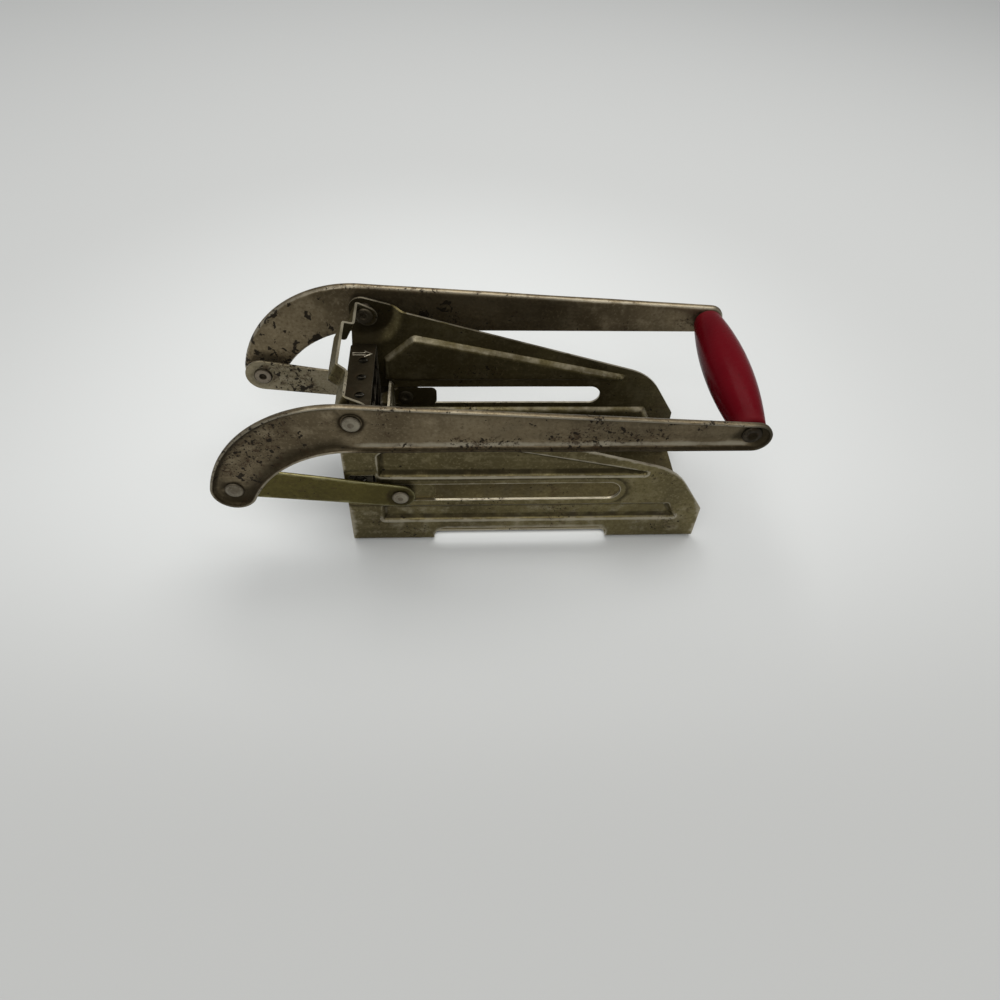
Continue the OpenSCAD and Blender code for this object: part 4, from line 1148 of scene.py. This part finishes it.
# ---- turned pieces
# profiles are points of (radius, height)
def dome(r):
    """Rivet head with a short upright rim."""
    rim, n = 0.35, 8
    angles = [math.pi / 2 * i / n for i in range(n + 1)]
    crown = [(r * math.cos(a), DOME_H * (rim + (1 - rim) * math.sin(a))) for a in angles[:-1]]
    return [(0, 0), (r * 0.7, 0), (r - 0.12, 0), (r, 0.12)] + crown + [(0, DOME_H)]


def clinch(r):
    """Hollow rivet tail, rolled outward round its hole."""
    hole, h = 1.6, CLINCH_H
    return [(0, 0), (r * 0.8, 0), (r, 0.08), (r, 0.3 * h), (r - 0.1 * h, 0.6 * h), (r - 0.45 * h, 0.9 * h),
            (r - 0.9 * h, h), (hole + 0.7 * h, h), (hole + 0.3 * h, 0.9 * h), (hole, 0.6 * h),
            (hole, 0.35 * h), (hole * 0.6, 0.3 * h), (0, 0.3 * h)]


def shank(r, h0, h1):
    return [(0, h0), (r - 0.1, h0), (r, h0 + 0.1), (r, h1 - 0.1), (r - 0.1, h1), (0, h1)]


def lathe(centre, start, profile, side, inward=False, wobble=0.0, seed=0.0, n=48):
    """Turned skin round an axis across the object. A radius of 0 closes it with one point."""
    v, f, rows = [], [], []
    angles = [2 * math.pi * i / n for i in range(n)]
    for r, h in profile:
        y = side * (start + (-h if inward else h))
        rows.append(range(len(v), len(v) + (n if r else 1)))
        for a in angles[:len(rows[-1])]:
            bump = noise.noise(Vector((math.cos(a) * 1.3, math.sin(a) * 1.3, seed + h * 0.35)))
            k = r * (1 + wobble * bump)
            v.append((centre[0] + k * math.cos(a), y, centre[1] + k * math.sin(a)))
    for a, b in zip(rows[:-1], rows[1:]):
        for i in range(n):
            j = (i + 1) % n
            if len(a) > 1 and len(b) > 1:
                f.append((a[i], a[j], b[j], b[i]))
            elif len(b) > 1:
                f.append((a[0], b[i], b[j]))
            elif len(a) > 1:
                f.append((a[i], a[j], b[0]))
    return np.array(v), f


def make_pin(name, centre, side, lathes, wobble, seed, body, slot, node, worn_and_lit, dirty_and_shaded):
    """Rivet from (start, profile, inward) parts, with lighter rings of worn metal and painted highlight and
    darker rings of dirt and painted shade, as (radius, height).
    """
    parts = [lathe(centre, start, profile, side, inward, wobble, seed) for start, profile, inward in lathes]
    o = to_object(name, *join_parts(parts), body, slot, [node])
    turn_outward(o)
    finish_surface(o)

    def refine(p, n, wear_and_highlight, grime_and_shade):
        # painted shade: the parts inside the body are painted dark
        inner = np.abs(p[:, 1]) < SIDE_IN
        return np.where(inner, wear_and_highlight * 0.4, wear_and_highlight), np.where(inner, np.maximum(grime_and_shade, 0.8), grime_and_shade)

    worn_and_lit, dirty_and_shaded = ([upright(circle(centre, r, 28), side * h) for r, h in rings] for rings in (worn_and_lit, dirty_and_shaded))
    wear_grime_and_painted_light(o, worn_and_lit, dirty_and_shaded, 1.3, 1.6, refine, edges=False)


def make_rivets(side):
    name = side_name(side)
    seed = 2.2 if side == NEAR else 9.4
    # lever pivot: head, shanks and clinched tail on the keeper's leg
    make_pin("pivot_pin_" + name, PIVOT, side, [
        (WEB_OUT + SLIP, dome(4.2), False), (0, shank(3.0, BOSS_OUT, WEB_OUT + SLIP), False),
        (0, shank(2.4, LEG_IN - SLIP, BOSS_OUT), False), (LEG_IN - SLIP, clinch(4.2), True)],
        0.02, seed, "base", "rivet_steel", "pivot_rivet_" + name,
        [(2.0, WEB_OUT + DOME_H), (3.2, WEB_OUT + 1.2), (3.4, LEG_IN - CLINCH_H)],
        [(4.3, WEB_OUT), (1.0, LEG_IN - 0.3)])
    # hook rivet: head and shoulder on the lever
    make_pin("hook_pin_" + name, HOOK, side, [
        (WEB_OUT, dome(4.3), False), (0, shank(2.6, WEB_IN, WEB_OUT), False),
        (0, shank(4.0, LINK_OUT + SLIP, WEB_IN), False)],
        0.025, seed + 3, "lever", "rivet_steel", "hook_rivet_" + name,
        [(2.0, WEB_OUT + DOME_H), (3.3, WEB_OUT + 1.2)], [(4.4, WEB_OUT)])
    # its clinched tail on the link
    make_pin("hook_tail_" + name, HOOK, side, [
        (0, shank(2.6, LINK_IN, LINK_OUT), False), (LINK_IN, clinch(4.7), True)],
        0.03, seed + 5, name + "_link", "dark_rod", "hook_rivet_tail_" + name,
        [(3.8, LINK_IN - CLINCH_H), (2.3, LINK_IN - CLINCH_H)], [(1.0, LINK_IN - 0.3), (4.8, LINK_IN)])
    # stud between link and pusher
    make_pin("slide_pin_" + name, STUD, side, [
        (LINK_OUT + SLIP, dome(3.95), False), (0, shank(2.5, WING_IN, LINK_OUT + SLIP), False),
        (WING_IN, clinch(3.95), True)],
        0.025, seed + 7, "pusher", "rivet_steel", "link_stud_" + name,
        [(1.8, LINK_OUT + DOME_H), (3.0, LINK_OUT + 1.2), (3.0, WING_IN - CLINCH_H)], [(4.0, LINK_OUT)])


def make_rod():
    """Rod with a peened head at each end, dished in the middle."""
    head = [(0, 0), (4.3, 0), (4.6, 0.15), (4.5, 0.6), (4.1, 1.0), (3.4, 1.28), (2.6, 1.3), (1.9, 1.1),
            (1.45, 0.75), (1.2, 0.45), (0, 0.4)]
    parts = [lathe(ROD, -WEB_OUT, [(0, 0), (3, 0), (3, 2 * WEB_OUT), (0, 2 * WEB_OUT)], FAR, n=40)]
    parts += [lathe(ROD, WEB_OUT, head, side, False, 0.035, 4.4 * side) for side in (NEAR, FAR)]
    o = to_object("rod", *join_parts(parts), "lever", "dark_rod", ["handle_rod"])
    turn_outward(o)
    finish_surface(o)

    def refine(p, n, wear_and_highlight, grime_and_shade):
        r = np.hypot(p[:, 0] - ROD[0], p[:, 2] - ROD[1])
        end = np.abs(p[:, 1]) > WEB_OUT + SLIP
        wear_and_highlight = np.where(end, 0.45 * np.clip(1.2 - np.abs(r - 3.0) / 1.2, 0, 1), 0)
        return wear_and_highlight, np.where(end, np.where(r < 2.2, 0.95, 0.35), 0)

    wear_grime_and_painted_light(o, refine=refine, edges=False)


GRIP_HALF = WEB_IN - 0.4
GRIP_ROUND = 2.6
GRIP_END_R, GRIP_MID_R = 6.6, 10.9
GRIP_BORE_R = 3.05


def grip_profile():
    """Closed profile of (radius, y): bore, rounded ends and a belly that follows a parabola."""
    def belly(y):
        return GRIP_END_R + (GRIP_MID_R - GRIP_END_R) * (1 - (y / GRIP_HALF) ** 2)

    straight = GRIP_HALF - GRIP_ROUND
    flat = belly(straight) - GRIP_ROUND
    end = [(GRIP_BORE_R, GRIP_HALF), (flat * 0.75, GRIP_HALF - 0.05)]
    for i in range(9):
        a = math.radians(i * 10)
        end.append((flat + GRIP_ROUND * math.sin(a), straight + GRIP_ROUND * math.cos(a)))
    middle = [(belly(straight * i / 30), straight * i / 30) for i in range(-30, 31)]
    return [(r, -y) for r, y in end] + middle + end[::-1] + [(GRIP_BORE_R, -GRIP_HALF)]


def make_grip():
    profile, n = grip_profile(), 84
    v = []
    for r, y in profile:
        for i in range(n):
            a = 2 * math.pi * i / n
            # the turned surface is uneven by a few hundredths, and the bore is not
            bump = noise.noise(Vector((math.cos(a), math.sin(a), y * 0.05)))
            k = r * (1 + 0.004 * bump) if r > GRIP_BORE_R else r
            v.append((ROD[0] + k * math.cos(a), y, ROD[1] + k * math.sin(a)))
    o = to_object("grip", v, skin(len(profile), n), "grip", "red_grip", ["handle_grip"])
    turn_outward(o, 0.015)
    finish_surface(o)

    def refine(p, n, wear_and_highlight, grime_and_shade):
        end = np.clip((np.abs(p[:, 1]) - GRIP_HALF + GRIP_ROUND + 5) / 6, 0, 1)
        return 0.8 * end, grime_and_shade

    wear_grime_and_painted_light(o, refine=refine, edges=False)


# ---- CAD nodes that stay, floor and light
def dress_cad_nodes():
    """Blades, washers, spacers and bushes keep their solids and get worked materials."""
    for part in frame["record"]["subparts"]:
        slot, o = part["material_slot"], frame["nodes"][part["node"]]
        if slot not in ("cutter_steel", "dark_rod", "rivet_steel"):
            continue
        material = MATERIALS["blade_steel" if "blade" in part["node"] else slot]
        if not o.material_slots:
            o.data.materials.append(material)
        for place in o.material_slots:
            place.material = material


def make_floor():
    s = 6.0
    me = bpy.data.meshes.new("floor")
    me.from_pydata([(-s, -s, 0), (s, -s, 0), (s, s, 0), (-s, s, 0)], [], [(0, 1, 2, 3)])
    o = bpy.data.objects.new("floor", me)
    bpy.context.scene.collection.objects.link(o)
    # pale paper, painted lighter in a pool round the object and towards the back, as painted light
    g = Graph("floor")
    split = g.node("SeparateXYZ", Vector=g.coord)
    x, y = split.outputs[0], split.outputs[1]
    r2 = g.add(g.math("POWER", g.add(x, 0.02), 2.0), g.math("POWER", g.less(y, 0.06), 2.0))
    near = g.ramp(g.math("SQRT", r2), 0.04, 0.36, 1.0, 0.0)
    rear = g.ramp(y, -0.20, 0.02)
    paper = g.mix(rear, (0.470, 0.478, 0.474), (0.560, 0.572, 0.570))
    g.put(g.bsdf.inputs["Base Color"], g.mix(g.times(near, rear), paper, (0.72, 0.74, 0.74)))
    g.bsdf.inputs["Roughness"].default_value = 0.9
    g.bsdf.inputs["Specular IOR Level"].default_value = 0.1
    me.materials.append(g.mat)


def make_lamp(name, width, depth, power, place):
    """Area lamp aimed at the object."""
    lamp = bpy.data.lights.new(name, "AREA")
    lamp.shape = "RECTANGLE"
    lamp.size, lamp.size_y = width, depth
    lamp.energy = power
    lamp.color = (1.0, 0.985, 0.96)
    o = bpy.data.objects.new(name, lamp)
    o.location = place
    o.rotation_euler = (Vector((0, 0, 0.03)) - Vector(place)).to_track_quat("-Z", "Y").to_euler()
    bpy.context.scene.collection.objects.link(o)


def make_light():
    world = bpy.data.worlds.new("world")
    world.use_nodes = True
    sky = world.node_tree.nodes["Background"]
    sky.inputs[0].default_value = (0.82, 0.82, 0.82, 1)
    sky.inputs[1].default_value = 0.47
    bpy.context.scene.world = world
    # one wide lamp overhead and behind, a second one in front above the camera
    make_lamp("overhead", 1.4, 1.0, 13.5, (0.15, 0.35, 1.25))
    make_lamp("front", 1.0, 0.6, 5.0, (-0.2, -0.85, 1.0))


make_materials()
make_body()
for each_side in (NEAR, FAR):
    make_lip(each_side)
    make_arm(each_side)
    make_link(each_side)
    make_rivets(each_side)
make_keeper()
make_frame()
make_pusher()
make_rod()
make_grip()
dress_cad_nodes()
make_floor()
make_light()
bpy.context.scene.view_settings.view_transform = "Standard"
